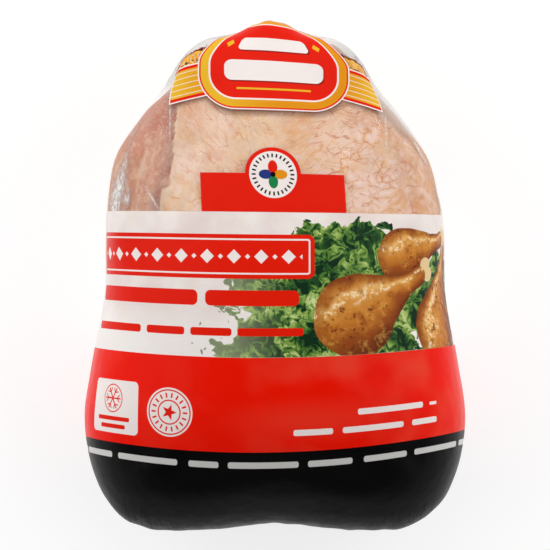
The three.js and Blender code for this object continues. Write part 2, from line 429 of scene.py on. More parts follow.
def closed_loft(
    name: str, points: Array, first_pole: Array, last_pole: Array, film: Array | None = None
) -> Object:
    """Close a grid of rings with a pole at each end.

    The grid's last column repeats the first: its corners are merged, its film coordinates are not.

    Args:
        name: Name of the piece.
        points: Rings by points by 3, clockwise as seen from the first.
        first_pole, last_pole: The two end points.
        film: Rings by points by 2 film coordinates, or None.

    Returns:
        The closed object.
    """
    rings, columns = points.shape[0], points.shape[1] - 1
    vertices = np.vstack([first_pole, points[:, :columns].reshape(-1, 3), last_pole])
    ring, column = np.meshgrid(np.arange(rings - 1), np.arange(columns), indexing="ij")
    after = (column + 1) % columns
    low, high = 1 + ring * columns, 1 + (ring + 1) * columns
    quads = np.stack([low + column, low + after, high + after, high + column], axis=-1).reshape(-1, 4)
    k = np.arange(columns)
    last = len(vertices) - 1
    start = np.stack([0 * k, 1 + (k + 1) % columns, 1 + k], axis=-1)
    base = 1 + (rings - 1) * columns
    end = np.stack([base + k, base + (k + 1) % columns, 0 * k + last], axis=-1)
    uv = None
    if film is not None:
        corner = np.stack(
            [film[ring, column], film[ring, column + 1], film[ring + 1, column + 1], film[ring + 1, column]],
            axis=-2,
        ).reshape(-1, 2)
        middle = columns // 2
        first_uv = np.stack([film[0, k] * 0 + film[0, middle], film[0, k + 1], film[0, k]], axis=1)
        end_uv = np.stack([film[-1, k], film[-1, k + 1], film[-1, k] * 0 + film[-1, middle]], axis=1)
        uv = np.vstack([corner, first_uv.reshape(-1, 2), end_uv.reshape(-1, 2)])
    return mesh_object(name, vertices, [quads, start, end], uv)


def keep(obj: Object, name: str, values: Array) -> None:
    """Keep a named number for each vertex of a closed loft, from values on its grid; the poles get 0."""
    inner = np.concatenate([[0], values[:, :-1].ravel(), [0]]).astype(np.float32)
    obj.data.attributes.new(name, "FLOAT", "POINT").data.foreach_set("value", inner)


# ---- Film ----


@dataclass
class Film:
    """The bag's film, drawn tight over the bird.

    Gathers run to the mouth, puckers to the seam at the neck end. The veil makes the film milky where it
    stands off the bird, in a grey that is partly painted shade. Pairs named between are where something
    begins and where it is whole.
    """

    form: PackForm
    spacing: GridSpacing = GridSpacing(318, 300, 0.02, 0.42, 0.35)
    mouth: Triple = (-0.002, 0.099, 0.033)
    gathers: int = 15
    gather_rise: float = 0.0007
    gather_reach: float = 0.016
    gather_wobble: float = 1.4
    wobble_size: float = 0.02
    ripple_rise: float = 0.00008
    ripple_size: float = 0.004
    pucker_rise: float = 0.0006
    pucker_size: float = 0.0052
    pucker_reach: float = 0.018
    pucker_between: Pair = (0.088, 0.106)
    veil: float = 0.85
    veil_between: Pair = (0.0005, 0.0042)
    ray_length: float = 0.05
    ray_width: float = 0.10
    rays_between: Pair = (-0.066, -0.048)
    ray_depth: float = 0.06
    low_ray_depth: float = 0.48
    low_loss: float = 0.1
    sag_rate: float = 0.073
    sag_from: float = 0.027
    sag_to: float = 0.04
    tilt_at_middle: float = -0.00019
    tilt_rate: float = -0.0262
    climb_from: float = 0.05
    gather_between: Pair = (0.094, 0.124)
    gather_rate: float = 0.75
    spare_between: Pair = (1.1, 2.0)
    creases: tuple[PlanLine, ...] = (
        PlanLine(((-0.0450, 0.084), (-0.0448, 0.068), (-0.0450, 0.054)), 0.0007, 0.0006),
        PlanLine(((-0.0570, 0.042), (-0.0540, 0.036), (-0.0496, 0.026)), 0.0009, 0.0005),
        PlanLine(((0.0468, 0.071), (0.0478, 0.062), (0.0477, 0.052)), 0.0007, 0.0005),
        PlanLine(((-0.0290, 0.022), (-0.0400, 0.012), (-0.0560, 0.006)), 0.0020, -0.0002),
        PlanLine(((0.0300, -0.040), (0.0520, -0.046), (0.0700, -0.043)), 0.0030, -0.0002),
    )

    def __post_init__(self) -> None:
        """Seed the fine waves of the film."""
        self.grain = Grain(FILM_SEED)

    def about_mouth(self, points: Array) -> tuple[Array, Array]:
        """How far points lie from the mouth, and their turn about the line through it along y."""
        away = points - np.array(self.mouth) - self.form.shift
        return np.linalg.norm(away, axis=-1), np.arctan2(away[..., 0], away[..., 2])

    def waves(self, points: Array) -> Array:
        """Work out the film's own small relief.

        A gather is cos(n a) of the turn a about the mouth, times exp(-d / r) of the distance from it.
        Puckers and ripple are stretched random fields, and the puckers fade as a Gaussian from the seam.

        Args:
            points: The film without its relief.

        Returns:
            The rise at each point.
        """
        reach, turn = self.about_mouth(points)
        wobble = self.gather_wobble * self.grain.at(points, self.wobble_size)
        rise = self.gather_rise * np.cos(self.gathers * turn + wobble) * np.exp(-reach / self.gather_reach)
        rise += self.ripple_rise * self.grain.at(points * (1.0, 0.5, 1.0), self.ripple_size)
        end = smoothstep(-points[..., 1], *self.pucker_between)
        beside = np.exp(-(((points[..., 2] - SEAM_HEIGHT) / self.pucker_reach) ** 2))
        puckers = 1 + self.grain.at(points * (1.0, 0.2, 0.22), self.pucker_size)
        rise += self.pucker_rise * puckers * end * beside
        upper = upper_side(points)
        for crease in self.creases:
            rise += crease.relief(points) * upper
        return rise

    def rays(self, points: Array) -> Array:
        """Break the veil up into rays from the mouth, most low down.

        Args:
            points: The film.

        Returns:
            The share of the veil that stays at each point.
        """
        reach, turn = self.about_mouth(points)
        rays = self.grain.at(np.stack([turn, reach / self.ray_length, 0 * turn], axis=-1), self.ray_width)
        lower = smoothstep(-points[..., 2], *self.rays_between)
        depth = self.ray_depth + self.low_ray_depth * lower
        return np.maximum(1 - depth * (1 - rays) - self.low_loss * lower, 0)

    def coordinates(self, points: Array, angle: Array, across: Array) -> Array:
        """Work out the film's own coordinates, in metres, in which the print is drawn.

        The first is the way round the ring from the top. Where the rings get shorter than the tube, the
        gathered film runs faster, and below it makes up the rest of the girth. The second is y less a sag
        with the square of the place across; beyond climb_from it follows the crest's own length.

        Args:
            points: The film, as rings by points by 3.
            angle: Angles from straight up, one for each point of a ring.
            across: x over the ring's half width.

        Returns:
            Rings by points by 2.
        """
        steps = np.linalg.norm(np.diff(points, axis=1), axis=-1)
        around = np.concatenate([np.zeros((len(points), 1)), np.cumsum(steps, axis=1)], axis=1)
        girth = around[:, [-1]]
        middle = around.shape[1] // 2
        around -= around[:, [middle]]
        y = points[..., 1]
        crest = points[:, middle]
        step = np.diff(crest, axis=0)
        climb = np.where(crest[1:, 1] > self.climb_from, np.hypot(step[:, 1], step[:, 2]) - step[:, 1], 0)
        climb = np.concatenate([[0], np.cumsum(climb)])[:, None]
        sag = self.sag_rate * (self.sag_from - np.minimum(y, self.sag_to))
        tilt = self.tilt_at_middle + self.tilt_rate * y
        along = y + climb - sag * across**2 - tilt * across
        beyond = crest[:, 1] > self.climb_from
        spare = np.where(beyond, np.maximum(girth[beyond].max() - girth[:, 0], 0), 0)[:, None]
        below = smoothstep(np.abs(angle), *self.spare_between) * np.sign(angle)
        gathered = 1 + self.gather_rate * smoothstep(along, *self.gather_between)
        return np.stack([around * gathered + spare / 2 * below, along], axis=-1)

    def build(self, bird: Bird) -> Object:
        """Make the film as one closed skin with its print coordinates and its veil.

        Args:
            bird: The bird, whose hollows give the gap.

        Returns:
            The film.
        """
        points, outward, across = self.form.surface(self.spacing.distances(self.form), self.spacing.angles())
        gap = -bird.hollow(points)
        points = points + outward * self.waves(points)[..., None]
        points[..., 2] = np.maximum(points[..., 2], 0)
        first, last = self.form.poles()
        coordinates = self.coordinates(points, self.spacing.angles(), across)
        film = closed_loft("film", points, first, last, coordinates)
        keep(film, "veil", self.veil * smoothstep(gap, *self.veil_between) * self.rays(points))
        return film


# ---- Bird ----


@dataclass
class Bird:
    """The bird inside the film: the same loft a little smaller, with its own hollows, skin and flesh.

    The skin ends at a torn edge with teeth and lobes, pairs of a depth and a size. Along it run a painted
    shadow on the flesh, a torn line and a thin lip on the skin. Swells are pairs of a height and a size.
    """

    form: PackForm
    spacing: GridSpacing = GridSpacing(330, 300, 0.012, 0.72, 0.45)
    under_film: float = 0.0003
    hollows: tuple[Ridge, ...] = (
        Ridge((0, 0.4, 0.72), (0, 0.46, 0.62), 0.0075, -0.0065),
        Ridge((-0.02, 0.46, 0.3), (-0.02, 0.38, 0.2), 0.012, -0.006),
        Ridge((-0.54, 0.385, 0.5), (-0.31, 0.462, 0.5), 0.007, -0.0042),
        Ridge((0.2, 0.475, 0.5), (0.42, 0.435, 0.52), 0.006, -0.004),
        Ridge((0.46, 0.41, 0.52), (0.66, 0.29, 0.5), 0.007, -0.0046),
        Ridge((-0.14, 0.48, 0.5), (-0.12, 0.44, 0.62), 0.004, -0.004),
        Ridge((0.09, 0.48, 0.5), (0.09, 0.44, 0.62), 0.004, -0.004),
    )
    grooves: tuple[PlanLine, ...] = (
        PlanLine(
            ((-0.042, 0.088), (-0.045, 0.068), (-0.0455, 0.053), (-0.048, 0.038), (-0.051, 0.02)),
            0.003,
            -0.0013,
        ),
        PlanLine(((0.044, 0.086), (0.0485, 0.066), (0.053, 0.05), (0.058, 0.034)), 0.0045, -0.0012),
        PlanLine(((-0.06, 0.047), (-0.056, 0.036), (-0.052, 0.026)), 0.002, -0.0008),
        PlanLine(((-0.024, 0.079), (-0.018, 0.06), (-0.01, 0.047)), 0.006, -0.0006),
    )
    skin_edge: tuple[Pair, ...] = (
        (-0.0425, 0.110), (-0.0438, 0.079), (-0.0446, 0.058), (-0.0455, 0.048), (-0.0466, 0.042),
        (-0.0490, 0.0335), (-0.0498, 0.0275), (-0.0520, 0.015), (-0.0540, -0.110),
    )
    skin_thickness: float = 0.0006
    thin_reach: float = 0.008
    skin_between: Pair = (0.0, 0.02)
    edge_half_width: float = 0.0004
    teeth: tuple[Pair, ...] = ((0.0009, 0.0042), (0.0003, 0.0016))
    lobes: Pair = (0.0018, 0.0085)
    lobes_between: Pair = (-0.048, -0.036)
    brink_shadow_between: Pair = (-0.0065, -0.0012)
    lip_width: float = 0.0024
    lip_fade: float = 0.0016
    torn_middle: float = -0.0007
    torn_reach: float = 0.0006
    swells: tuple[Pair, ...] = ((0.0002, 0.011), (0.0001, 0.0045))
    follicle_rise: float = 0.00012
    follicle_step: float = 0.0034
    follicle_size: float = 0.3
    follicle_jitter: float = 0.36
    follicle_cells: int = 128
    bumpy_size: float = 0.02
    bumpy_between: Pair = (-0.3, 0.5)

    def __post_init__(self) -> None:
        """Seed the bird's own unevenness."""
        self.grain = Grain(BIRD_SEED)

    def off_edge(self, points: Array) -> Array:
        """Measure how far points lie right of the torn edge of the skin.

        Args:
            points: Points of the bird.

        Returns:
            The distance along x, with teeth and lobes added.
        """
        corners = np.array(self.skin_edge)[::-1]
        ragged = sum(depth * self.grain.at(points, size) for depth, size in self.teeth)
        depth, size = self.lobes
        ragged += depth * self.grain.at(points, size) * smoothstep(-points[..., 1], *self.lobes_between)
        return points[..., 0] - np.interp(points[..., 1], corners[:, 1], corners[:, 0]) + ragged

    def follicles(self, points: Array) -> Array:
        """Raise bumps where feathers were: 1 - d / r round each point of a jittered grid in plan.

        Args:
            points: Points of the bird.

        Returns:
            The height of the bumps, from 0 to 1.
        """
        cells = self.follicle_cells
        jitter = np.random.default_rng(FOLLICLE_SEED).uniform(
            -self.follicle_jitter, self.follicle_jitter, (cells, cells, 2)
        )
        x, y = (points[..., axis] / self.follicle_step + cells // 2 for axis in (0, 1))
        column, row = np.floor(x).astype(int), np.floor(y).astype(int)
        nearest = np.full(x.shape, np.inf)
        for across, along in np.ndindex(3, 3):
            offset = jitter[(column + across - 1) % cells, (row + along - 1) % cells]
            dx = column + across - 0.5 + offset[..., 0] - x
            dy = row + along - 0.5 + offset[..., 1] - y
            nearest = np.minimum(nearest, np.hypot(dx, dy))
        return np.clip(1 - nearest / self.follicle_size, 0, 1)

    def hollow(self, points: Array) -> Array:
        """Work out how far the bird falls back from the form.

        Args:
            points: Points of the form.

        Returns:
            The sum of its hollows and, on the upper side, its grooves, below 0.
        """
        upper = upper_side(points)
        fall = self.form.raised(points - self.form.shift, self.hollows)
        for groove in self.grooves:
            fall += groove.relief(points) * upper
        return fall

    def build(self) -> Object:
        """Make the bird as one closed skin that knows where it is bare flesh and where it is torn.

        Its lift is the sum of the hollows, the gap, the missing skin, the swells and the follicles.

        Returns:
            The bird.
        """
        points, outward, _ = self.form.surface(self.spacing.distances(self.form), self.spacing.angles())
        upper = upper_side(points)
        lift = self.hollow(points) - self.under_film
        off_edge = self.off_edge(points)
        flesh = 1 - smoothstep(off_edge, -self.edge_half_width, self.edge_half_width)
        clear = smoothstep(points[..., 1], *self.skin_between)
        lift -= self.skin_thickness * flesh * clear * np.exp(np.minimum(off_edge, 0) / self.thin_reach)
        (broad, broad_size), (small, small_size) = self.swells
        lift += broad * (self.grain.at(points, broad_size) - 1) + small * self.grain.at(points, small_size)
        bumpy = smoothstep(self.grain.at(points, self.bumpy_size), *self.bumpy_between) * (1 - flesh) * clear
        lift += self.follicle_rise * self.follicles(points) * bumpy
        points = points + outward * np.minimum(lift, -self.under_film)[..., None]
        points[..., 2] = np.maximum(points[..., 2], self.under_film)
        first, last = self.form.poles()
        inward = np.array([0, self.under_film * 2, 0])
        bird = closed_loft("bird", points, first + inward, last - inward)
        keep(bird, "flesh", flesh * upper)
        # A painted shadow on the flesh along the torn edge of the skin.
        keep(bird, "brink", smoothstep(off_edge, *self.brink_shadow_between) * upper * clear)
        keep(bird, "lip", smoothstep(self.lip_width - off_edge, 0.0, self.lip_fade) * upper * clear)
        torn = np.exp(-0.5 * ((off_edge - self.torn_middle) / self.torn_reach) ** 2)
        keep(bird, "torn", torn * upper * clear)
        return bird


# ---- Closure ----


def carried(path: Array, section: Array, up: Array) -> Array:
    """Carry a closed section along a path.

    Each point is the path's plus its coordinates along two directions square to the path.

    Args:
        path: One row for each station.
        section: Stations by points by 2 coordinates of the section.
        up: A direction that is never along the path.

    Returns:
        Stations by points by 3.
    """
    along = np.gradient(path, axis=0)
    along /= np.linalg.norm(along, axis=1, keepdims=True)
    side = np.cross(along, up)
    side /= np.linalg.norm(side, axis=1, keepdims=True)
    upward = np.cross(side, along)
    return path[:, None, :] + section[..., :1] * side[:, None, :] + section[..., 1:] * upward[:, None, :]


def curve_through(corners: Array, count: int) -> Array:
    """Draw a smooth curve through corners, on Hermite stretches.

    Args:
        corners: The corners, one row each.
        count: How many points to lay at even steps of the way.

    Returns:
        The points, one row each.
    """
    knots = np.concatenate([[0], np.cumsum(np.linalg.norm(np.diff(corners, axis=0), axis=1))])
    way, slopes = np.linspace(0, knots[-1], count), np.gradient(corners, knots, axis=0)
    return hermite(knots, corners, slopes, way, (0, len(knots) - 2))


@dataclass
class Closure:
    """The gathered neck of the bag, the frill beyond the clip and the clip; corners are y and z."""

    form: PackForm
    neck_corners: tuple[Pair, ...] = (
        (0.090, 0.036), (0.096, 0.0345), (0.100, 0.031), (0.1014, 0.026), (0.1014, 0.022), (0.101, 0.0165),
    )
    neck_grid: tuple[int, int] = (70, 180)
    neck_radius: float = 0.004
    neck_folds: int = 9
    neck_twist: float = 0.8
    neck_slack: float = 0.985
    pinch: float = 0.03
    pinch_reach: float = 0.004
    pinched_fold: float = 0.0002
    free_fold: float = 0.00035
    frill_grid: tuple[int, int] = (230, 60)
    frill_line: tuple[Pair, ...] = ((0.1012, 0.0185), (0.103, 0.006), (0.086, 0.0028))
    frill_root_half: float = 0.0032
    frill_hem_half: float = 0.024
    frill_flare: float = 0.8
    frill_pleats: int = 11
    frill_pleat_depth: float = 0.0032
    frill_wall: float = 0.0003
    frill_unevenness: float = 0.05
    frill_clearance: float = 0.0002
    clip_grid: tuple[int, int] = (120, 32)
    clip_centre: Pair = (0.1014, 0.0225)
    clip_gap: float = 0.00035
    clip_wall: float = 0.0019
    clip_stretch: float = 1.12
    clip_height: float = 0.003
    clip_squareness: float = 0.55

    def at(self, x: Array, y: Array, z: Array) -> Array:
        """Points of the closure, moved to the lean of the leg end."""
        return np.stack([x - self.form.lean, y, z], axis=-1) + self.form.shift

    def build_neck(self) -> Object:
        """Make the bundle of film: a section of folds, r = R - f (1 - cos n a), carried along the neck.

        The folds deepen away from the clip and turn as the film twists, with a finer set over them.

        Returns:
            The neck.
        """
        rings, columns = self.neck_grid
        line = curve_through(np.array(self.neck_corners), rings)
        path = self.at(0 * line[:, 0], line[:, 0], line[:, 1])
        angle = np.linspace(0, 2 * np.pi, columns + 1)[:-1]
        pinched = np.exp(-0.5 * ((line[:, 1:] - self.clip_centre[1]) / self.pinch_reach) ** 2)
        twist = self.neck_twist * np.linspace(0, 1, rings)[:, None]
        fold = self.pinched_fold + self.free_fold * (1 - pinched)
        fine_waves = np.cos(2 * self.neck_folds * (angle - twist) + 1)
        waves = np.cos(self.neck_folds * (angle + twist)) + 0.4 * fine_waves
        radius = self.neck_radius * (self.neck_slack - self.pinch * pinched) - fold * (1 - waves) * 0.7
        section = np.stack([radius * np.cos(angle), radius * np.sin(angle)], axis=-1)
        ring = carried(path, section, np.array([1.0, 0, 0]))
        ring = np.concatenate([ring, ring[:, :1]], axis=1)
        return closed_loft("gathered_neck", ring, path[0], path[-1])

    def build_frill(self) -> Object:
        """Make the free film beyond the clip: a pleated sheet that fans out and bends under the bird.

        Its middle line is a quadratic bend, and it waves as cos of the place across, deeper to the hem.

        Returns:
            The frill.
        """
        columns, rows = self.frill_grid
        across = np.linspace(-1, 1, columns)[None, :]
        down = np.linspace(0, 1, rows)[:, None]
        a, b, c = (np.array(p) for p in self.frill_line)
        uneven = Grain(FRILL_SEED).at(np.stack([across, 0 * across, 0 * across], axis=-1), 0.12)
        reach = (down * (1 + self.frill_unevenness * uneven * down))[..., None]
        middle = (1 - reach) ** 2 * a + 2 * (reach * (1 - reach)) * b + reach**2 * c
        along = 2 * (1 - reach) * (b - a) + 2 * reach * (c - b)
        along /= np.linalg.norm(along, axis=-1, keepdims=True)
        outward = np.stack([-along[..., 1], along[..., 0]], axis=-1)
        half = self.frill_root_half + (self.frill_hem_half - self.frill_root_half) * down**self.frill_flare
        phase = np.pi * self.frill_pleats * (across + 0.03 * np.sin(7 * across) + 0.02 * uneven)
        pleat = (np.cos(phase) + 0.25 * np.cos(2.3 * phase + 1)) * self.frill_pleat_depth * down / 2.6
        faces = []
        for side in (1, -1):
            face = middle + outward * (pleat + side * self.frill_wall / 2)[..., None]
            faces.append(self.at(half * across, face[..., 0], face[..., 1]))
        ring = np.concatenate([faces[0], faces[1][:, ::-1], faces[0][:, :1]], axis=1)
        ring[..., 2] = np.maximum(ring[..., 2], self.frill_clearance)
        return closed_loft("frill", ring[:, ::-1], ring[0, :-1].mean(0), ring[-1, columns // 2])

    def build_clip(self) -> Object:
        """Make the clip: a rounded flat section carried round the neck, drawn out to both sides.

        The section is a superellipse, x = a |cos t|^p and y = b |sin t|^p with their signs.

        Returns:
            The clip.
        """
        path_points, section_points = self.clip_grid
        turns = np.linspace(-np.pi / 2, 1.5 * np.pi, path_points + 1)[:-1]
        middle = self.neck_radius + self.clip_gap + self.clip_wall / 2
        path_radius = middle * (1 + (self.clip_stretch - 1) * 0.75 * np.cos(turns) ** 2)
        t = np.linspace(0, 2 * np.pi, section_points + 1)[:-1]
        bulge = 0.88 + 0.12 * np.cos(4 * turns)[:, None] ** 2
        r = self.clip_wall / 2 * np.sign(np.cos(t)) * np.abs(np.cos(t)) ** self.clip_squareness
        h = self.clip_height / 2 * np.sign(np.sin(t)) * np.abs(np.sin(t)) ** self.clip_squareness * bulge
        radial = path_radius[:, None] + 0.94 * r[None, :]
        y, z = self.clip_centre
        ring = self.at(
            radial * np.cos(turns)[:, None], y + radial * np.sin(turns)[:, None], z + h + 0 * radial
        )
        return closed_ring("bag_clip", ring)


def closed_ring(name: str, rings: Array) -> Object:
    """Join sections that run round in a ring, as a torus is, by quads that wrap both ways.

    Args:
        name: Name of the piece.
        rings: Sections by points by 3.

    Returns:
        The closed object.
    """
    count, points = rings.shape[:2]
    i, j = np.meshgrid(np.arange(count), np.arange(points), indexing="ij")
    i2, j2 = (i + 1) % count, (j + 1) % points
    quads = np.stack([i * points + j, i2 * points + j, i2 * points + j2, i * points + j2], axis=-1)
    return mesh_object(name, rings.reshape(-1, 3), [quads.reshape(-1, 4)])


# ---- Node sheets ----


def operation(name: str, reflected: bool = False) -> Callable[[Value, Number], Value]:
    """Make a method of Value that adds one Math node.

    Args:
        name: What the node works out.
        reflected: Whether the other number comes first.

    Returns:
        The method.
    """

    def work_out(value: Value, other: Number) -> Value:
        """The result of the two."""
        return value.sheet.math(name, *((other, value) if reflected else (value, other)))

    return work_out


@dataclass(frozen=True, eq=False)
class Value:
    """The result of a socket, so that shader maths is written as arithmetic."""

    sheet: Sheet
    socket: NodeSocket

    __add__ = __radd__ = operation("ADD")
    __sub__ = operation("SUBTRACT")
    __rsub__ = operation("SUBTRACT", reflected=True)
    __mul__ = __rmul__ = operation("MULTIPLY")
    __truediv__ = operation("DIVIDE")
    __mod__ = operation("FLOORED_MODULO")
    least = operation("MINIMUM")
    greatest = operation("MAXIMUM")

    def __abs__(self) -> Value:
        """The value without its sign."""
        return self.sheet.math("ABSOLUTE", self)

    def ramp(self, low: float, high: float) -> Value:
        """Step smoothly from 0 to 1.

        Args:
            low, high: Where the step begins and ends; low may be the larger.

        Returns:
            The step.
        """
        settings = {"interpolation_type": "SMOOTHSTEP"}
        # Painted shadow on the flesh beside the torn edge of the skin.
        sockets: Sockets = {"Value": self, "From Min": low, "From Max": high}
        if low > high:
            sockets = {"Value": self, "From Min": high, "From Max": low, "To Min": 1.0, "To Max": 0.0}
        return self.sheet.value("MapRange", settings, sockets)

    def web(self, width: float) -> Value:
        """Lines where the value crosses a half: 1 on the line and 0 from width on."""
        return abs(self - 0.5).ramp(width, 0.0)


Number = float | Value
Input = float | Value | Sequence[float]
Settings = dict[str, object]
Sockets = dict[str | int, Input]


class Sheet:
    """The node sheet of one material, or of the sky."""

    def __init__(self, owner: Material | World) -> None:
        """Start an empty sheet.

        Args:
            owner: The material or the sky whose nodes the sheet replaces.
        """
        self.owner = owner
        owner.use_nodes = True
        self.tree = owner.node_tree
        self.tree.nodes.clear()

    @classmethod
    def named(cls, name: str) -> Sheet:
        """Start the sheet of a new material."""
        return cls(bpy.data.materials.new(name))

    def node(self, kind: str, settings: Settings | None = None, sockets: Sockets | None = None) -> Node:
        """Add a node.

        Args:
            kind: The node's type, after ShaderNode.
            settings: Its properties, set first. "stops" are a ramp's pairs of place and colour.
            sockets: Values or links of its inputs, by name, identifier or number.

        Returns:
            The node.
        """
        node = self.tree.nodes.new("ShaderNode" + kind)
        for key, setting in (settings or {}).items():
            if key == "stops":
                while len(node.color_ramp.elements) < len(setting):
                    node.color_ramp.elements.new(0.5)
                for element, (place, colour) in zip(node.color_ramp.elements, setting):
                    element.position, element.color = place, colour
            else:
                setattr(node, key, setting)
        for key, given in (sockets or {}).items():
            if isinstance(key, int):
                target = node.inputs[key]
            else:
                target = next(s for s in node.inputs if key in (s.identifier, s.name))
            if isinstance(given, Value):
                self.tree.links.new(given.socket, target)
            else:
                target.default_value = given
        return node

    def value(
        self,
        kind: str,
        settings: Settings | None = None,
        sockets: Sockets | None = None,
        output: str | int = 0,
    ) -> Value:
        """Add a node and give one of its outputs, by name or number."""
        return Value(self, self.node(kind, settings, sockets).outputs[output])

    def math(self, operation: str, *inputs: Number, clamp: bool = False) -> Value:
        """Add one Math node."""
        settings = {"operation": operation, "use_clamp": clamp}
        return self.value("Math", settings, dict(enumerate(inputs)))

    def mix(self, factor: Number, first: Input, second: Input) -> Value:
        """Mix two colours: the first at 0, the second at 1."""
        sockets: Sockets = {"Factor_Float": factor, "A_Color": first, "B_Color": second}
        return self.value("Mix", {"data_type": "RGBA"}, sockets, "Result")

    def mottle(self, colour: Input, guide: Value, *tints: tuple[float, float, Number, Input]) -> Value:
        """Tint a colour where a guide, such as a noise, is high or low.

        Args:
            colour: The colour.
            guide: The guide.
            tints: Each the guide where it begins and where it is whole, its strength and its colour.

        Returns:
            The tinted colour.
        """
        for start, full, strength, tint in tints:
            colour = self.mix(guide.ramp(start, full) * strength, colour, tint)
        return colour

    def blend(self, share: Value, stops: Sequence[Tone]) -> Value:
        """The colour at a share of a row of colours, each with its own place."""
        return self.value("ValToRGB", {"stops": stops}, {0: share}, "Color")

    def principled(self, sockets: Sockets) -> Value:
        """An all-round surface."""
        return self.value("BsdfPrincipled", {}, sockets)

    def mix_shader(self, factor: Number, first: Value, second: Value) -> Value:
        """Mix two surfaces: the first at 0, the second at 1."""
        return self.value("MixShader", {}, {0: factor, 1: first, 2: second})

    def place(self) -> Value:
        """The point in the piece's own space, which is the frame's."""
        return self.value("TexCoord", {}, {}, "Object")

    def apart(self, vector: Value) -> tuple[Value, Value, Value]:
        """The three numbers of a vector."""
        outputs = self.node("SeparateXYZ", {}, {0: vector}).outputs
        return Value(self, outputs[0]), Value(self, outputs[1]), Value(self, outputs[2])

    def joined(self, x: Number, y: Number, z: Number) -> Value:
        """A vector made of three numbers."""
        return self.value("CombineXYZ", {}, {"X": x, "Y": y, "Z": z})

    def noise(self, where: Value, size: float, detail: float = 2.0, roughness: float = 0.5) -> Value:
        """Smooth noise from 0 to 1 with features about size wide, in the units of where."""
        sockets = {"Vector": where, "Scale": 1 / size, "Detail": detail, "Roughness": roughness}
        return self.value("TexNoise", {}, sockets)

    def shoved(self, where: Value, size: float, reach: float) -> Value:
        """Push a place about by noise.

        Args:
            where: The place.
            size: About how wide the pushes are.
            reach: How far they go, from end to end.

        Returns:
            The place plus the noise in each direction.
        """
        sockets = {"Vector": where, "Scale": 1 / size, "Detail": 1.0}
        noise = self.value("TexNoise", {}, sockets, "Color")
        settings = {"operation": "MULTIPLY_ADD"}
        return self.value("VectorMath", settings, {0: noise, 1: (reach,) * 3, 2: where})

    def turned(self, where: Value, turn: float, size: Pair) -> Value:
        """A place in cells of a size along and across, turned in plan by degrees from x."""
        sockets = {"Vector": where, "Rotation": (0.0, 0.0, radians(turn)), "Scale": (*size, size[0])}
        return self.value("Mapping", {"vector_type": "TEXTURE"}, sockets)

    def borders(self, cells: Value) -> Value:
        """The distance to the nearest border between random cells of size 1."""
        settings = {"feature": "DISTANCE_TO_EDGE"}
        return self.value("TexVoronoi", settings, {"Vector": cells, "Scale": 1.0})

    def attribute(self, name: str) -> Value:
        """A number kept on the mesh."""
        return self.value("Attribute", {"attribute_name": name}, {}, "Fac")

    def bump(self, height: Value, depth: float) -> Value:
        """A normal from a height of 0 to 1 that stands for depth in metres."""
        return self.value("Bump", {}, {"Strength": 1.0, "Distance": depth, "Height": height})

    def surface(self, shader: Value) -> Material:
        """End the sheet with its surface and give the material."""
        self.node("OutputMaterial", {}, {"Surface": shader})
        return self.owner


def dress(obj: Object, material: Material) -> None:
    """Give an object one material."""
    obj.data.materials.clear()
    obj.data.materials.append(material)


# ---- Print ----

FAINTEST = 0.001
PLAIN: Colour = (1.0, 1.0, 1.0, 1.0)


class Ink(Enum):
    """The inks of the bag, and one painted fold shade, as linear colours."""

    RED = srgb(222, 29, 10)
    BAND_RED = srgb(236, 21, 2)
    WHITE = srgb(238, 224, 218)
    BLACK = srgb(6, 6, 6)
    GREY = srgb(205, 203, 200)
    GOLD = srgb(220, 142, 22)
    PALE_GOLD = srgb(226, 176, 42)
    PAPER = srgb(236, 226, 222)
    DEEP_RED = srgb(140, 22, 14)
    # Not an ink: the maroon of painted shade in the folds of the pinched band.
    FOLD_SHADE_MAROON = srgb(70, 20, 16)
    GREEN = srgb(28, 122, 66)
    BLUE = srgb(38, 52, 120)
    SHADE = srgb(110, 52, 26)
    BONE = srgb(226, 196, 146)


@dataclass(frozen=True)
class Spot:
    """A place on the print with its own axes: u to the right and v to the leg end, in millimetres."""

    sheet: Sheet
    u: Value
    v: Value

    def at(self, u: float, v: float, turn: float = 0.0) -> Spot:
        """Move and turn the axes.

        Args:
            u, v: The new middle.
            turn: How far the new axes are turned anticlockwise, in degrees.

        Returns:
            The new axes.
        """
        du, dv = self.u - u, self.v - v
        if not turn:
            return Spot(self.sheet, du, dv)
        c, s = cos(radians(turn)), sin(radians(turn))
        return Spot(self.sheet, du * c + dv * s, dv * c - du * s)

    def reach(self, width: float = 1.0, height: float = 1.0) -> Value:
        """The distance from the middle, with each axis divided by its own size."""
        vector = self.sheet.joined(self.u / width, self.v / height, 0.0)
        return self.sheet.value("VectorMath", {"operation": "LENGTH"}, {0: vector}, "Value")

    def disc(self, radius: float) -> Value:
        """The signed distance to a circle."""
        return self.reach() - radius

    def oval(self, width: float, height: float) -> Value:
        """Nearly the signed distance to an ellipse of these half sizes."""
        return (self.reach(width, height) - 1.0) * min(width, height)

    def diamond(self, half: float) -> Value:
        """A signed distance, along the axes, to a square on its corner with this half width."""
        return abs(self.u) + abs(self.v) - half

    def box(self, width: float, height: float, corner: float = 0.0) -> Value:
        """Measure the signed distance to a rectangle with rounded corners.

        Args:
            width, height: Its half sizes.
            corner: Radius of its corners.

        Returns:
            The distance, negative inside.
        """
        u, v = abs(self.u) - (width - corner), abs(self.v) - (height - corner)
        if not corner:
            return u.greatest(v)
        outside = Spot(self.sheet, u.greatest(0.0), v.greatest(0.0)).reach()
        return outside + u.greatest(v).least(0.0) - corner

    def spokes(self, count: int) -> Spot:
        """Fold the surroundings of the middle into one sector.

        Args:
            count: How many sectors there are.

        Returns:
            Axes with u along the centre line of each.
        """
        step = 2 * np.pi / count
        angle = self.sheet.math("ARCTAN2", self.v, self.u)
        folded = (angle + step / 2) % step - step / 2
        reach = self.reach()
        along = reach * self.sheet.math("COSINE", folded)
        return Spot(self.sheet, along, reach * self.sheet.math("SINE", folded))


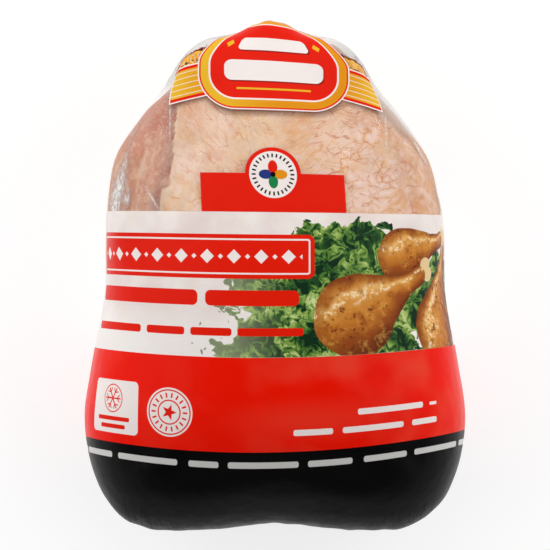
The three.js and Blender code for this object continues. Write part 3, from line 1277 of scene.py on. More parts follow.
@dataclass
class Print:
    """Inks laid one over another, with edges of width soft: a running colour and how far it covers."""

    spot: Spot
    soft: float = 0.16
    colour: Input = Ink.WHITE.value
    cover: Number = 0.0

    @property
    def sheet(self) -> Sheet:
        """The material's sheet."""
        return self.spot.sheet

    def inside(self, outline: Value, soft: float | None = None) -> Value:
        """The share of ink at a signed distance from an outline: 1 inside, 0 outside."""
        return self.sheet.math("MULTIPLY_ADD", outline, -1 / (soft or self.soft), 0.5, clamp=True)

    def ring(self, outline: Value, inner: float, outer: float) -> Value:
        """The share of ink between two offsets of an outline."""
        middle, half = (inner + outer) / 2, (outer - inner) / 2
        return self.inside(abs(outline - middle) - half)

    def lay(self, share: Value, ink: Ink | Value, cover: float = 1.0) -> None:
        """Lay an ink where share is 1.

        Args:
            share: Where the ink lies, from 0 to 1.
            ink: The ink, or a colour that changes over the surface.
            cover: How far the ink hides what is under it.
        """
        colour = ink.value if isinstance(ink, Ink) else ink
        self.colour = self.sheet.mix(share, self.colour, colour)
        strength = share if cover == 1.0 else share * cover
        self.cover = strength if isinstance(self.cover, float) else self.cover.greatest(strength)

    def fill(self, outline: Value, ink: Ink | Value, cover: float = 1.0) -> None:
        """Lay an ink inside an outline."""
        self.lay(self.inside(outline), ink, cover)

    def shade(self, share: Value, cover: float) -> None:
        """Lay a soft shadow, which keeps its own colour out to its edge on bare film.

        Args:
            share: Where the shadow lies, from 0 to 1.
            cover: How far it hides what is under it.
        """
        strength = share * cover
        total = strength.greatest(self.cover)
        self.colour = self.sheet.mix(strength / total.greatest(FAINTEST), self.colour, Ink.SHADE.value)
        self.cover = total


@dataclass(frozen=True)
class Row:
    """A line of rounded bars in the places of words: its height v, half height and pairs of ends."""

    v: float
    half: float
    bars: tuple[Pair, ...]


@dataclass(frozen=True)
class Drumstick:
    """A drumstick in the picture: the middle of its bulb, the turn of its bone, its length and radii."""

    u: float
    v: float
    turn: float
    length: float
    big: float
    small: float


@dataclass
class BagPrint:
    """The bag's artwork in millimetres: bands round the tube and plain marks on them.

    spot holds the print's axes, and where is the point in the piece's own space.
    """

    spot: Spot
    where: Value
    window_edge: float = 26.6
    white_edge: float = -34.9
    red_edge: float = -75.0
    white_cover: float = 0.93
    red_cover: float = 0.985
    dull_white: Colour = srgb(232, 216, 212)
    clean_white: Colour = srgb(244, 237, 232)
    warm_white: Colour = srgb(236, 224, 206)
    bright_white: Colour = srgb(246, 242, 238)
    # The lighter red of the painted sheen on the red band.
    sheen_red: Colour = srgb(236, 80, 58)
    heading: Pair = (-40.6, 7.7)
    diamond_pitch: float = 11.6
    roundel: Pair = (0.4, 42.7)
    tag: Pair = (-75.9, -59.2)
    seal: Pair = (-45.7, -59.2)
    badge: Pair = (1.5, 96.6)
    badge_corner: float = 17.0
    words: tuple[Row, ...] = (
        Row(-9.9, 3.3, ((-98.0, -33.2), (-29.8, 10.2))),
        Row(-24.2, 1.7, ((-98.0, -60.6), (-57.4, -39.0), (-36.3, -18.4), (-15.9, 12.1))),
    )
    pale_words: tuple[Row, ...] = (
        Row(-59.5, 1.3, ((35.4, 66.8),)),
        Row(-59.5, 0.7, ((70.8, 75.2),)),
        Row(-67.0, 1.3, ((7.8, 24.6), (28.8, 56.4), (60.8, 74.9))),
    )
    foot_words: tuple[Row, ...] = (
        Row(-80.6, 1.35, ((-134, -121), (-117, -107), (-103, -76), (-72, -42), (-37, -24), (-20, 10))),
        Row(-80.6, 1.35, ((14, 33), (38, 58), (62, 92), (96, 119), (123, 137))),
    )
    drumsticks: tuple[Drumstick, ...] = (
        Drumstick(84.0, -24.0, 76.0, 36.0, 19.0, 4.6),
        Drumstick(57.0, 8.0, 14.0, 30.0, 12.0, 4.0),
        Drumstick(35.0, -18.0, 27.0, 36.0, 18.5, 4.8),
    )
    leaf_tones: tuple[Tone, ...] = (
        (0.1, srgb(20, 46, 28)), (0.36, srgb(44, 84, 40)), (0.56, srgb(88, 126, 54)),
        (0.78, srgb(144, 172, 86)), (1.0, srgb(200, 212, 146)),
    )
    faded_leaf: Colour = srgb(176, 184, 146)
    roast_tones: tuple[Tone, ...] = (
        (0.02, srgb(88, 38, 18)), (0.2, srgb(146, 74, 26)), (0.45, srgb(190, 116, 42)),
        (0.66, srgb(208, 142, 62)), (0.76, srgb(226, 174, 100)), (0.86, srgb(194, 124, 50)),
        (0.98, srgb(140, 72, 28)),
    )
    roast_edge: Colour = srgb(112, 50, 22)
    roast_dark: Colour = srgb(138, 62, 24)
    roast_light: Colour = srgb(222, 162, 78)
    roast_char: Colour = srgb(100, 38, 20)
    roast_gleam: Colour = srgb(246, 220, 176)

    def __post_init__(self) -> None:
        """Start with bare film."""
        self.art = Print(self.spot)

    def draw(self) -> Print:
        """Draw the whole print, from the bands to the marks on top.

        Returns:
            The finished print.
        """
        self.draw_bands()
        self.draw_picture()
        self.draw_tab()
        self.draw_headings()
        self.draw_tag()
        self.draw_seal()
        self.draw_foot()
        self.draw_pinched()
        self.draw_badge()
        return self.art

    def draw_bands(self) -> None:
        """Draw the white, red and black bands; the white ink is thin, so it is mottled, and the red has a
        painted sheen.
        """
        art, sheet = self.art, self.art.sheet
        cloud = sheet.noise(self.where, 0.022, 3.0).ramp(0.35, 0.7)
        white = sheet.mix(cloud, self.dull_white, self.clean_white)
        white = sheet.mottle(white, sheet.noise(self.where, 0.012), (0.45, 0.75, 0.3, self.warm_white))
        white = sheet.mottle(white, self.spot.v, (-8.0, -28.0, 0.7, self.bright_white))
        art.fill(self.spot.v - self.window_edge, white, self.white_cover)
        # Painted sheen on the red band: a patchy lighter red that grows toward the right and in an oval low
        # on the band.
        beside = self.spot.u.ramp(-40.0, 50.0) * 0.4 + 0.15
        haze = sheet.noise(self.where, 0.03, 2.0).ramp(0.42, 0.7) * beside
        haze = haze.greatest(self.spot.at(14.0, -62.0).oval(34.0, 9.0).ramp(4.0, -9.0) * 0.3)
        red = sheet.mix(haze, Ink.BAND_RED.value, self.sheen_red)
        art.fill(self.spot.v - self.white_edge, red, self.red_cover)
        art.fill(self.spot.v - self.red_edge, Ink.BLACK)

    def draw_rows(self, rows: Sequence[Row], ink: Ink) -> None:
        """Draw rows of bars, with corners of 0.7 of their half height.

        Args:
            rows: The rows.
            ink: Their ink.
        """
        for row in rows:
            for start, end in row.bars:
                middle = self.spot.at((start + end) / 2, row.v)
                self.art.fill(middle.box((end - start) / 2, row.half, row.half * 0.7), ink)

    def draw_headings(self) -> None:
        """Draw a bold bar with an inset line and a row of diamonds, and the bars of two lines under it."""
        art = self.art
        middle = self.spot.at(*self.heading)
        plate = middle.box(57.4, 9.4, 3.0)
        art.fill(plate, Ink.RED)
        art.lay(art.ring(plate, -2.5, -1.8), Ink.PAPER)
        half_pitch = self.diamond_pitch / 2
        across = abs((middle.u + half_pitch) % self.diamond_pitch - half_pitch)
        inner = art.inside(abs(middle.u) - 52.2)
        for beside, half in ((across, 3.0), (half_pitch - across, 1.1)):
            art.lay(inner * art.inside(beside + abs(middle.v) - half), Ink.PAPER)
        self.draw_rows(self.words, Ink.RED)

    def draw_tab(self) -> None:
        """Draw the red tab above the white band and the roundel of four petals on its top edge."""
        art = self.art
        tab = self.spot.at(0, 34.6).box(31.0, 8.6)
        middle = self.spot.at(*self.roundel)
        disc = middle.disc(11.9)
        art.fill(tab.least(disc).greatest(self.window_edge - self.spot.v), Ink.RED)
        art.fill(disc + 1.8, Ink.PAPER)
        art.fill(middle.spokes(28).at(8.2, 0).box(0.85, 0.36, 0.2), Ink.BLACK)
        petals = art.inside(middle.spokes(4).at(3.1, 0).oval(2.9, 2.0))
        art.lay(petals, Ink.GREEN)
        for outside, ink in (
            (abs(middle.u) - middle.v, Ink.RED),
            (abs(middle.v) + middle.u, Ink.BLUE),
            (abs(middle.v) - middle.u, Ink.GOLD),
        ):
            art.lay(petals * art.inside(outside), ink)
        art.fill(middle.disc(1.1), Ink.BLACK)

    def draw_tag(self) -> None:
        """Draw a pale tab with a six-armed crystal in a ring over two bars."""
        art = self.art
        tab = self.spot.at(*self.tag)
        art.fill(tab.box(15.0, 11.6, 2.2), Ink.PAPER)
        middle = tab.at(0, 3.6)
        art.lay(art.ring(middle.disc(6.2), -0.5, 0), Ink.RED)
        arm = middle.spokes(6)
        branch = Spot(art.sheet, arm.u, abs(arm.v)).at(3.6, 0.8, 50).box(1.1, 0.26)
        art.fill(arm.at(2.4, 0).box(2.6, 0.32).least(branch), Ink.RED)
        for v, half in ((-5.2, 10.4), (-8.6, 8.0)):
            art.fill(tab.at(0, v).box(half, 0.95, 0.6), Ink.RED)

    def draw_seal(self) -> None:
        """Draw a round seal: rings, ticks and a star of five points."""
        art = self.art
        middle = self.spot.at(*self.seal)
        disc = middle.disc(10.5)
        art.fill(disc, Ink.PAPER)
        for inner in (-1.35, -5.75):
            art.lay(art.ring(disc, inner, inner + 0.6), Ink.RED)
        art.fill(middle.spokes(18).at(7.25, 0).box(1.05, 0.38, 0.2), Ink.RED)
        ray = middle.spokes(5)
        art.fill((ray.u - 3.6) * 0.34 + abs(ray.v) * 0.94, Ink.RED)

    def draw_foot(self) -> None:
        """Draw the pale bars on the red band and the row of bars on the black one."""
        self.draw_rows(self.pale_words, Ink.PAPER)
        self.draw_rows(self.foot_words, Ink.GREY)

    def draw_pinched(self) -> None:
        """Draw the gold band's far side, pinched in the gathers beside the badge: dark ragged edges, painted
        fold shade.
        """
        art, sheet = self.art, self.art.sheet
        beside = abs(self.spot.u).ramp(20.0, 34.0)
        fine = (sheet.noise(self.where, 0.0016, 2.0, 0.7) - 0.5) * 4.0
        pucker = fine + (sheet.noise(self.where, 0.006) - 0.5) * 4.0
        band = self.spot.at(1.0, 98.6)
        band = Spot(sheet, band.u, band.v + abs(band.u) * 0.4 - 12.0)
        wavy = Spot(sheet, band.u, band.v + pucker * beside)
        strip = wavy.box(47.0, 5.0)
        art.fill(strip, Ink.DEEP_RED)
        gold = sheet.mix(sheet.noise(self.where, 0.0013).ramp(0.4, 0.6), Ink.GOLD.value, Ink.PALE_GOLD.value)
        art.fill(strip + 1.5, gold)
        hatch = abs((wavy.u + wavy.v * 0.7) % 1.9 - 0.95) - 0.16
        art.lay(art.inside(strip + 1.7) * art.inside(hatch) * 0.7, Ink.PAPER)
        patchy = sheet.noise(self.where, 0.0022).ramp(0.44, 0.54) * 0.85
        # Painted shade: dark maroon lines along the folds of the pinched band.
        for lower, half in ((1.7, 0.6), (-4.9, 1.5)):
            fold = Spot(sheet, band.u, band.v + lower + pucker * 0.8).box(46.0, half)
            art.lay(art.inside(fold) * patchy, Ink.FOLD_SHADE_MAROON, 0.9)

    def draw_badge(self) -> None:
        """Draw the badge by the legs: a red plaque with a gold rim and two blank plates, on a gold band.

        Each shape is the one before it, drawn in a little.
        """
        art, sheet = self.art, self.art.sheet
        middle = self.spot.at(*self.badge)
        level = self.spot.at(3.0, 87.8)
        droop = (abs(level.u).greatest(22.0) - 26.0) * 0.26
        band = Spot(sheet, level.u, level.v + droop)
        art.shade(art.inside(self.spot.at(2.0, 95.0).box(33.6, 24.8, self.badge_corner), 3.6), 0.54)
        art.shade(art.inside(band.at(0.0, -1.5).box(47.6, 8.4), 3.0), 0.5)
        strip = band.box(48.0, 8.4)
        art.fill(strip, Ink.PAPER)
        art.fill(strip + 0.6, Ink.RED)
        gold = sheet.mix(abs(level.u).ramp(47.0, 30.0) * 0.8, Ink.PALE_GOLD.value, Ink.GOLD.value)
        core = art.inside(abs(band.v) - 6.4) * art.inside(abs(band.u) - 47.4)
        art.lay(core, gold)
        line = abs((band.v + 1.3) % 2.6 - 1.3) - 0.16
        art.lay(core * art.inside(line) * 0.85, Ink.PAPER)
        plaque = middle.box(33.2, 24.6, self.badge_corner)
        rim = sheet.mix(middle.u.ramp(-30.0, 6.0), Ink.PALE_GOLD.value, Ink.GOLD.value)
        for inset, ink in ((0.0, Ink.PAPER), (0.6, Ink.RED), (1.3, rim), (4.8, Ink.PAPER), (5.6, Ink.RED)):
            art.fill(plaque + inset, ink)
        for v, width, half in ((8.0, 17.5, 3.2), (-5.4, 21.5, 5.0)):
            art.lay(art.inside(middle.at(0.5, v - 0.7).box(width, half, half * 0.7), 0.5), Ink.DEEP_RED)
            art.fill(middle.at(0, v).box(width, half, half * 0.7), Ink.PAPER)
        for u in (-22.5, 22.5):
            art.fill(middle.at(u, 8.0).diamond(2.0), Ink.PALE_GOLD)
        art.fill(middle.at(0, -14.4).box(16.0, 0.45), Ink.PALE_GOLD)

    def draw_picture(self) -> None:
        """Draw a serving picture: golden-brown drumsticks on frilly leaves, cut off by the red band.

        The leaves' tone is a sum of three noises, with light veins where the finer two cross a half.
        """
        art, sheet = self.art, self.art.sheet
        curled = sheet.shoved(self.where, 1 / 120, 0.012)
        lobes = sheet.noise(self.where, 0.0105, 1.0, 0.6)
        frill = sheet.noise(curled, 0.0052, 1.0)
        ruffle = sheet.noise(curled, 0.0019, 1.0)
        field_edge = self.spot.at(27.0, -13.0).oval(47.0, 36.0)
        back = self.spot.at(84.0, -18.0).oval(21.0, 30.0)
        foot = self.spot.at(-4.0, -36.0).oval(26.0, 14.0)
        ragged = (lobes - 0.5) * 22.0 + (frill - 0.5) * 16.0 + (ruffle - 0.5) * 7.0
        leaves = field_edge.least(back).least(foot) + ragged
        share = art.inside(leaves.greatest(self.white_edge - self.spot.v), 0.4)
        veins = frill.web(0.10) * 0.26 + ruffle.web(0.12) * 0.16
        high = self.spot.v.ramp(-14.0, 20.0) * 0.12
        depth = veins + high + (lobes - 0.5) * 1.7 + (frill - 0.5) * 1.3 + (ruffle - 0.5) * 1.1 + 0.26
        green = sheet.blend(depth, self.leaf_tones)
        art.lay(share, sheet.mix(self.spot.u.ramp(8.0, -24.0) * 0.5, green, self.faded_leaf))
        for drumstick in self.drumsticks:
            self.draw_drumstick(drumstick)

    def draw_drumstick(self, leg: Drumstick) -> None:
        """Draw one roast drumstick: a bulb that tapers to a bone with a pale knuckle.

        The tone follows the place across, as on a cylinder lit from above, and is browned in spots.

        Args:
            leg: The drumstick.
        """
        art, sheet = self.art, self.art.sheet
        spot = self.spot.at(leg.u, leg.v, leg.turn)
        keep_in = self.white_edge - self.spot.v
        knuckle = Spot(sheet, spot.u, abs(spot.v)).at(leg.length + leg.small * 1.3, leg.small * 0.5)
        art.lay(art.inside(knuckle.disc(leg.small * 0.72).greatest(keep_in), 0.4), Ink.BONE)
        lump = sheet.noise(self.where, 0.011) - 0.5
        radius = leg.big + spot.u.ramp(0.0, leg.length * 0.86) * (leg.small - leg.big)
        on_bone = spot.u.greatest(0.0).least(leg.length)
        reach = Spot(sheet, spot.u - on_bone, spot.v).reach() + lump * 3.0
        share = art.inside((reach - radius).greatest(keep_in), 0.35)
        across = spot.v / radius + lump * 0.9
        tone = sheet.blend(across * 0.5 + 0.5, self.roast_tones)
        tone = sheet.mix((reach / radius).ramp(0.55, 1.05) * 0.5, tone, self.roast_edge)
        crisp = sheet.noise(self.where, 0.0052, 3.0, 0.65)
        tone = sheet.mottle(
            tone, crisp, (0.52, 0.64, 0.55, self.roast_dark), (0.46, 0.34, 0.4, self.roast_light)
        )
        browned = sheet.noise(self.where, 0.0022, 3.0, 0.65)
        charred = browned.ramp(0.56, 0.64) * sheet.noise(self.where, 0.012, 1.0).ramp(0.44, 0.6)
        tone = sheet.mix(charred * 0.85, tone, self.roast_char)
        gleam = browned.ramp(0.5, 0.4) * (1.0 - abs(across - 0.42).ramp(0.06, 0.26)) * 0.75
        art.lay(share, sheet.mix(gleam, tone, self.roast_gleam))


# ---- Finishes ----


@dataclass(frozen=True)
class Streak:
    """A long soft patch seen from above: its middle, turn, half length, half width and strength."""

    x: float
    y: float
    turn: float
    half_length: float
    half_width: float
    strength: float = 1.0

    def axes(self, plan: Spot) -> Spot:
        """The patch's own axes."""
        return plan.at(self.x, self.y, self.turn)

    def edge(self, plan: Spot) -> Value:
        """How far a point lies past the outline, in half sizes: -1 at the middle and 0 on the outline."""
        return self.axes(plan).reach(self.half_length, self.half_width) - 1.0


@dataclass(frozen=True)
class FilmFinish:
    """Printed glossy film with white streaks of rime and of painted highlight, painted fold shade and greyed
    free film.
    """

    gloss: float = 0.32
    shine: float = 0.05
    clear_gloss: float = 0.16
    ior: float = 1.45
    clear_ior: float = 1.35
    glint_limit: float = 0.06
    clear: Colour = (0.985, 0.98, 0.975, 1.0)
    # The free film's milky colour, greyed as painted shade.
    veil: Colour = srgb(188, 186, 183)
    rime_and_highlight_white: Colour = srgb(240, 236, 232)
    # The grey of painted shade in the free film's folds.
    fold_shade_grey: Colour = srgb(96, 94, 92)
    relief: float = 0.00012
    ripple_size: float = 0.0035
    rib_pitch: float = 0.0011
    pucker_size: float = 0.0026
    # White streaks: the broad ones on the left stand for rime, the thin ones along the film's creases are
    # painted highlight.
    streaks: tuple[Streak, ...] = (
        Streak(-64.9, 45.0, 77.0, 9.0, 1.1, 0.7),
        Streak(-67.6, 34.0, 78.0, 11.5, 2.7, 0.95),
        Streak(-63.1, 33.0, 82.0, 4.0, 1.3, 0.8),
        Streak(-60.0, 62.0, 62.0, 9.0, 0.7, 0.25),
        Streak(-52.3, 32.6, -60.0, 5.4, 0.5, 0.8),
        Streak(-44.9, 68.0, 90.0, 13.0, 0.4, 0.6),
        Streak(47.4, 62.0, 91.0, 8.0, 0.4, 0.7),
        Streak(45.6, 69.4, -80.0, 4.5, 1.3, 0.45),
        Streak(62.2, 53.0, -62.0, 7.0, 0.6, 0.7),
        Streak(71.6, 30.0, -72.0, 7.0, 0.5, 0.5),
    )
    # Patches of painted shade in the free film's folds at the far ends of the band.
    creases: tuple[Streak, ...] = (Streak(-39.4, 91.0, 56.0, 5.2, 2.0), Streak(36.6, 90.2, -54.0, 5.2, 2.0))

    def material(self) -> Material:
        """Make the material of the tight film.

        Ink and haze make the film solid. Elsewhere it is clear, with a limited glint.

        Returns:
            The material.
        """
        sheet = Sheet.named("printed_film")
        where = sheet.place()
        x, y, z = sheet.apart(where)
        u, v, _ = sheet.apart(sheet.value("UVMap", {"uv_map": PRINT_UV}))
        art = BagPrint(Spot(sheet, u / MM, v / MM), where).draw()
        ripple = sheet.noise(where, self.ripple_size, 3.0)
        plan = Spot(sheet, x / MM, y / MM)
        veil = sheet.attribute("veil")
        normal = sheet.bump(ripple * (1.0 - veil * 0.8) + self.seam(sheet, x, y, z), self.relief)
        # White of rime and of painted highlight, laid over the film's colour.
        rime_and_highlight = self.rime_and_highlight(where, plan, z)
        fold_shade = self.fold_shade(plan)
        haze = rime_and_highlight.greatest(veil).greatest(fold_shade * 0.75)
        solid = art.cover.greatest(haze)
        hazy = haze * (1.0 - art.cover) / solid.greatest(FAINTEST)
        # The free film's colour, darkened by painted shade in its folds.
        free = sheet.mix(fold_shade, self.veil, self.fold_shade_grey)
        printed = sheet.principled({
            "Base Color": sheet.mix(hazy, art.colour, sheet.mix(rime_and_highlight, free, self.rime_and_highlight_white)),
            "Roughness": ripple * 0.12 + (self.gloss - 0.06),
            "IOR": self.ior,
            "Specular IOR Level": self.shine,
            "Normal": normal,
        })
        through = sheet.value("BsdfTransparent", {}, {"Color": self.clear})
        glint = sheet.value(
            "BsdfAnisotropic", {}, {"Color": PLAIN, "Roughness": self.clear_gloss, "Normal": normal}
        )
        fresnel = sheet.value("Fresnel", {}, {"IOR": self.clear_ior, "Normal": normal})
        clear = sheet.mix_shader(fresnel.least(self.glint_limit), through, glint)
        return sheet.surface(sheet.mix_shader(solid, clear, printed))

    def seam(self, sheet: Sheet, x: Value, y: Value, z: Value) -> Value:
        """The relief of the bag's welded end: a ribbed band across it and fine puckers that run to it.

        Args:
            sheet: The material's sheet.
            x, y, z: The point's coordinates.

        Returns:
            The height, in depths of the film's bump.
        """
        end = y.ramp(-0.094, -0.103)
        away = abs(z - SEAM_HEIGHT)
        ribs = abs((x / self.rib_pitch) % 2.0 - 1.0)
        band = away.ramp(0.0026, 0.0022) * (ribs * 0.8 + 2.4)
        pucker = sheet.noise(sheet.joined(x, y * 0.3, z * 0.16), self.pucker_size)
        return (band + pucker * away.ramp(0.030, 0.003) * 9.0) * end

    def fold_shade(self, plan: Spot) -> Value:
        """Draw painted shade in the creases where the free film is pressed together at the far ends of the
        band.

        Args:
            plan: Axes in plan, in millimetres.

        Returns:
            The share of painted crease shade, from 0 to 1.
        """
        sheet, parts = plan.sheet, []
        for crease in self.creases:
            own = crease.axes(plan)
            creased = sheet.noise(sheet.joined(own.u * 0.22, own.v, 0.0), 0.85, 2.0, 0.6).ramp(0.5, 0.62)
            parts.append(crease.edge(plan).ramp(0.6, -0.8) * creased)
        return reduce(Value.greatest, parts)

    def rime_and_highlight(self, where: Value, plan: Spot, height: Value) -> Value:
        """Draw white streaks on the upper side: rime under the film, and painted highlight along its
        creases.

        Args:
            where: The point in the piece's own space.
            plan: Axes in plan, in millimetres.
            height: The point's height, in metres.

        Returns:
            The share of rime and painted highlight, from 0 to 1.
        """
        sheet = plan.sheet
        rough = sheet.noise(sheet.joined(plan.u * MM, plan.v * 0.5 * MM, 0.0), 0.0013, 3.0, 0.6)
        grain = rough.ramp(0.36, 0.64) * 0.5
        parts = [sheet.noise(where, 0.009).ramp(0.46, 0.7) * 0.05]
        for streak in self.streaks:
            edge = streak.edge(plan)
            parts.append(edge.ramp(1.0, -0.5) * (edge.ramp(0.8, -0.8) * 0.5 + grain) * streak.strength)
        return reduce(Value.greatest, parts) * height.ramp(0.022, 0.034)


@dataclass(frozen=True)
class Patch:
    """A soft stain seen from above: its middle and its reach in millimetres, its colour and strength."""

    x: float
    y: float
    reach: float
    tint: Colour
    strength: float


@dataclass(frozen=True)
class Strands:
    """A set of lines that run one way over part of the skin.

    turn is their direction in degrees and size that of one line along and across, in metres. Over the
    width, in millimetres, the set comes in from start to full and fades over FADE before stop. glow is
    the strength of a painted highlight, pale streaks on the ridges beside the lines.
    """

    FADE = 14.0

    turn: float
    size: Pair
    start: float
    full: float
    stop: float
    strength: float = 1.0
    crest_highlight: float = 0.0

    def share(self, plan: Spot) -> Value:
        """How much of the set there is, by the place across."""
        return plan.u.ramp(self.start, self.full) * plan.u.ramp(self.stop, self.stop - self.FADE)


@dataclass(frozen=True)
class Ground:
    """What the layers of the bird's material share: places, two noises and the share of the right side."""

    sheet: Sheet
    where: Value
    plan: Spot
    middle: Value
    fine: Value
    right: Value


@dataclass(frozen=True)
class SkinFinish:
    """Raw skin and flesh, moist and slightly see-through, with soft strokes, wrinkles, fine hairs and
    painted shade and highlight.
    """

    cream: Colour = srgb(226, 188, 146)
    warm: Colour = srgb(222, 167, 114)
    pale: Colour = srgb(231, 198, 174)
    rosy: Colour = srgb(212, 156, 130)
    flesh: Colour = srgb(198, 133, 110)
    pale_flesh: Colour = srgb(222, 179, 152)
    rose_flesh: Colour = srgb(200, 126, 106)
    brown_flesh: Colour = srgb(186, 122, 88)
    shade_flesh: Colour = srgb(160, 104, 88)
    # The browner colour of painted shade low on the skin's sides.
    side: Colour = srgb(196, 140, 110)
    blood: Colour = srgb(176, 78, 58)
    line: Colour = srgb(188, 84, 42)
    gold: Colour = srgb(222, 162, 98)
    peach: Colour = srgb(220, 146, 102)
    milky: Colour = srgb(232, 203, 189)
    lump: Colour = srgb(237, 210, 200)
    fat: Colour = srgb(232, 208, 182)
    spot_step: float = 0.006
    relief: float = 0.0005
    ior: float = 1.4
    shine: float = 0.06
    glow_share: float = 0.12
    glow_depth: float = 0.002
    glow_reach: Triple = (1.0, 0.45, 0.28)
    patches: tuple[Patch, ...] = (
        Patch(10.0, 62.0, 15.0, srgb(222, 166, 112), 0.6),
        Patch(27.0, 58.0, 10.0, srgb(238, 212, 196), 0.7),
        Patch(40.0, 36.0, 12.0, srgb(238, 212, 202), 0.75),
        Patch(40.0, 68.0, 11.0, srgb(206, 148, 112), 0.8),
        Patch(57.0, 54.0, 11.5, srgb(204, 150, 102), 0.9),
        Patch(64.0, 48.0, 9.0, srgb(210, 152, 116), 0.6),
        Patch(53.0, 44.0, 8.0, srgb(206, 158, 142), 0.65),
        Patch(63.0, 34.0, 13.0, srgb(208, 150, 108), 0.8),
        Patch(14.0, 45.0, 9.0, srgb(232, 194, 150), 0.6),
        Patch(-36.0, 68.0, 9.0, srgb(214, 156, 122), 0.6),
        Patch(-24.0, 52.0, 9.0, srgb(238, 206, 186), 0.6),
        Patch(-38.0, 47.0, 10.0, srgb(240, 214, 200), 0.75),
        Patch(-6.0, 62.0, 11.0, srgb(234, 204, 162), 0.6),
        Patch(-40.0, 34.0, 9.0, srgb(232, 204, 166), 0.7),
        Patch(-24.0, 66.0, 8.0, srgb(238, 212, 192), 0.65),
    )
    strokes: tuple[Strands, ...] = (
        Strands(-52.0, (0.0058, 0.0021), 14.0, -8.0, 120.0),
        Strands(24.0, (0.0046, 0.0019), -2.0, 10.0, 62.0),
        Strands(80.0, (0.0054, 0.0019), 48.0, 58.0, 120.0),
    )
    wrinkles: tuple[Strands, ...] = (
        Strands(-52.0, (0.0110, 0.0040), 12.0, -10.0, 120.0, 0.5, 0.45),
        Strands(28.0, (0.0160, 0.0036), -4.0, 10.0, 44.0, 0.65, 0.3),
        Strands(-6.0, (0.0150, 0.0036), 12.0, 22.0, 52.0, 0.75, 0.3),
        Strands(66.0, (0.0120, 0.0042), 34.0, 46.0, 74.0, 0.6, 0.3),
    )
    hairs: tuple[Strands, ...] = (
        Strands(-60.0, (0.0044, 0.0009), 8.0, -14.0, 120.0),
        Strands(36.0, (0.0060, 0.00085), -12.0, 2.0, 62.0),
        Strands(4.0, (0.0070, 0.0008), 14.0, 24.0, 60.0),
        Strands(62.0, (0.0046, 0.0009), 40.0, 50.0, 120.0),
    )

    def folds(self, ground: Ground, strands: Strands) -> tuple[Value, Value]:
        """Draw fine broken lines that run one way: the borders of long cells, pushed about.

        Args:
            ground: What the layers share.
            strands: The set of lines.

        Returns:
            1 on a line and 0 off it, and a soft streak along it.
        """
        sheet = ground.sheet
        cells = sheet.turned(sheet.shoved(ground.where, 0.009, 0.007), strands.turn, strands.size)
        gaps = sheet.turned(ground.where, strands.turn, (0.008, 0.005))
        broken = sheet.noise(gaps, 1.0, 1.5).ramp(0.45, 0.6)
        line = sheet.borders(cells).ramp(0.05, 0.0) * broken
        return line, sheet.noise(cells, 1.3, 1.0).ramp(0.36, 0.66)

    def clouded(self, ground: Ground) -> Value:
        """Lay the skin's soft colours: clouds at three sizes, and the patches.

        Args:
            ground: What the layers share.

        Returns:
            The colour.
        """
        sheet, where, right = ground.sheet, ground.where, ground.right
        broad = sheet.noise(where, 0.024, 1.0)
        soft = sheet.noise(sheet.shoved(where, 0.014, 0.010), 0.0125, 1.5)
        cloud = sheet.noise(sheet.shoved(where, 0.008, 0.006), 0.0062, 1.5)
        tan = sheet.mix(right, self.rosy, self.gold)
        colour = sheet.mottle(self.cream, broad, (0.4, 0.6, 0.75, self.warm))
        colour = sheet.mottle(colour, soft, (0.46, 0.68, 0.85, self.pale), (0.5, 0.3, 0.65, tan))
        for patch in self.patches:
            near = ground.plan.at(patch.x, patch.y).reach() / patch.reach + (soft - 0.5) * 1.4
            colour = sheet.mottle(colour, near, (1.2, 0.3, patch.strength, patch.tint))
        return sheet.mottle(colour, cloud, (0.5, 0.7, right * 0.3 + 0.35, self.milky), (0.5, 0.3, 0.5, tan))

    def lined(self, ground: Ground, colour: Value) -> Value:
        """Draw the strokes, the wrinkles and the hairs.

        Args:
            ground: What the layers share.
            colour: The skin's colour under them.

        Returns:
            The colour with them.
        """
        sheet, where, plan, right = ground.sheet, ground.where, ground.plan, ground.right
        for strands in self.strokes:
            fleck = sheet.noise(sheet.turned(where, strands.turn, strands.size), 1.0, 2.0, 0.6)
            share = strands.share(plan) * (0.42 - right * 0.16)
            tints = (0.5, 0.68, share, self.peach), (0.5, 0.32, share, self.milky)
            colour = sheet.mottle(colour, fleck, *tints)
        for strands in self.wrinkles:
            line, streak = self.folds(ground, strands)
            share = strands.share(plan)
            # Painted highlight: pale streaks along the wrinkles' ridges.
            colour = sheet.mix(streak * share * strands.crest_highlight, colour, self.pale)
            colour = sheet.mix(line * share * strands.strength, colour, self.line)
        bent = sheet.shoved(where, 0.012, 0.006)
        strength = ground.middle.ramp(0.45, 0.6) * (right * 0.15 + 0.3)
        for strands in self.hairs:
            hair = sheet.noise(sheet.turned(bent, strands.turn, strands.size), 1.0, 1.0).ramp(0.64, 0.75)
            colour = sheet.mix(hair * strands.share(plan) * strength, colour, self.line)
        return colour

    def webbed(self, ground: Ground, colour: Value) -> tuple[Value, Value]:
        """Draw small pale lumps in a web of reddish seams, on the right and low on the left.

        Args:
            ground: What the layers share.
            colour: The skin's colour under them.

        Returns:
            The colour with them, and their height from 0 to 1.
        """
        sheet, where, plan, right = ground.sheet, ground.where, ground.plan, ground.right
        seams = sheet.borders(sheet.turned(sheet.shoved(where, 0.007, 0.008), 20.0, (0.0068, 0.0046)))
        patchy = sheet.noise(where, 0.007, 1.5)
        middling = plan.at(38.0, 44.0).reach().ramp(30.0, 12.0)
        lumpy = plan.at(-38.0, 32.0).reach().ramp(15.0, 6.0)
        web = (right * middling * 0.85 + right * 0.15).greatest(lumpy * 0.75)
        colour = sheet.mottle(
            colour,
            seams,
            (0.05, 0.4, web * patchy.ramp(0.36, 0.56) * 0.8, self.lump),
            (0.2, 0.0, web * patchy.ramp(0.42, 0.62) * 0.3, self.gold),
            (0.038, 0.0, web * patchy.ramp(0.45, 0.57) * 0.6, self.line),
        )
        return colour, seams.ramp(0.0, 0.3) * (web * 0.1 + 0.02)

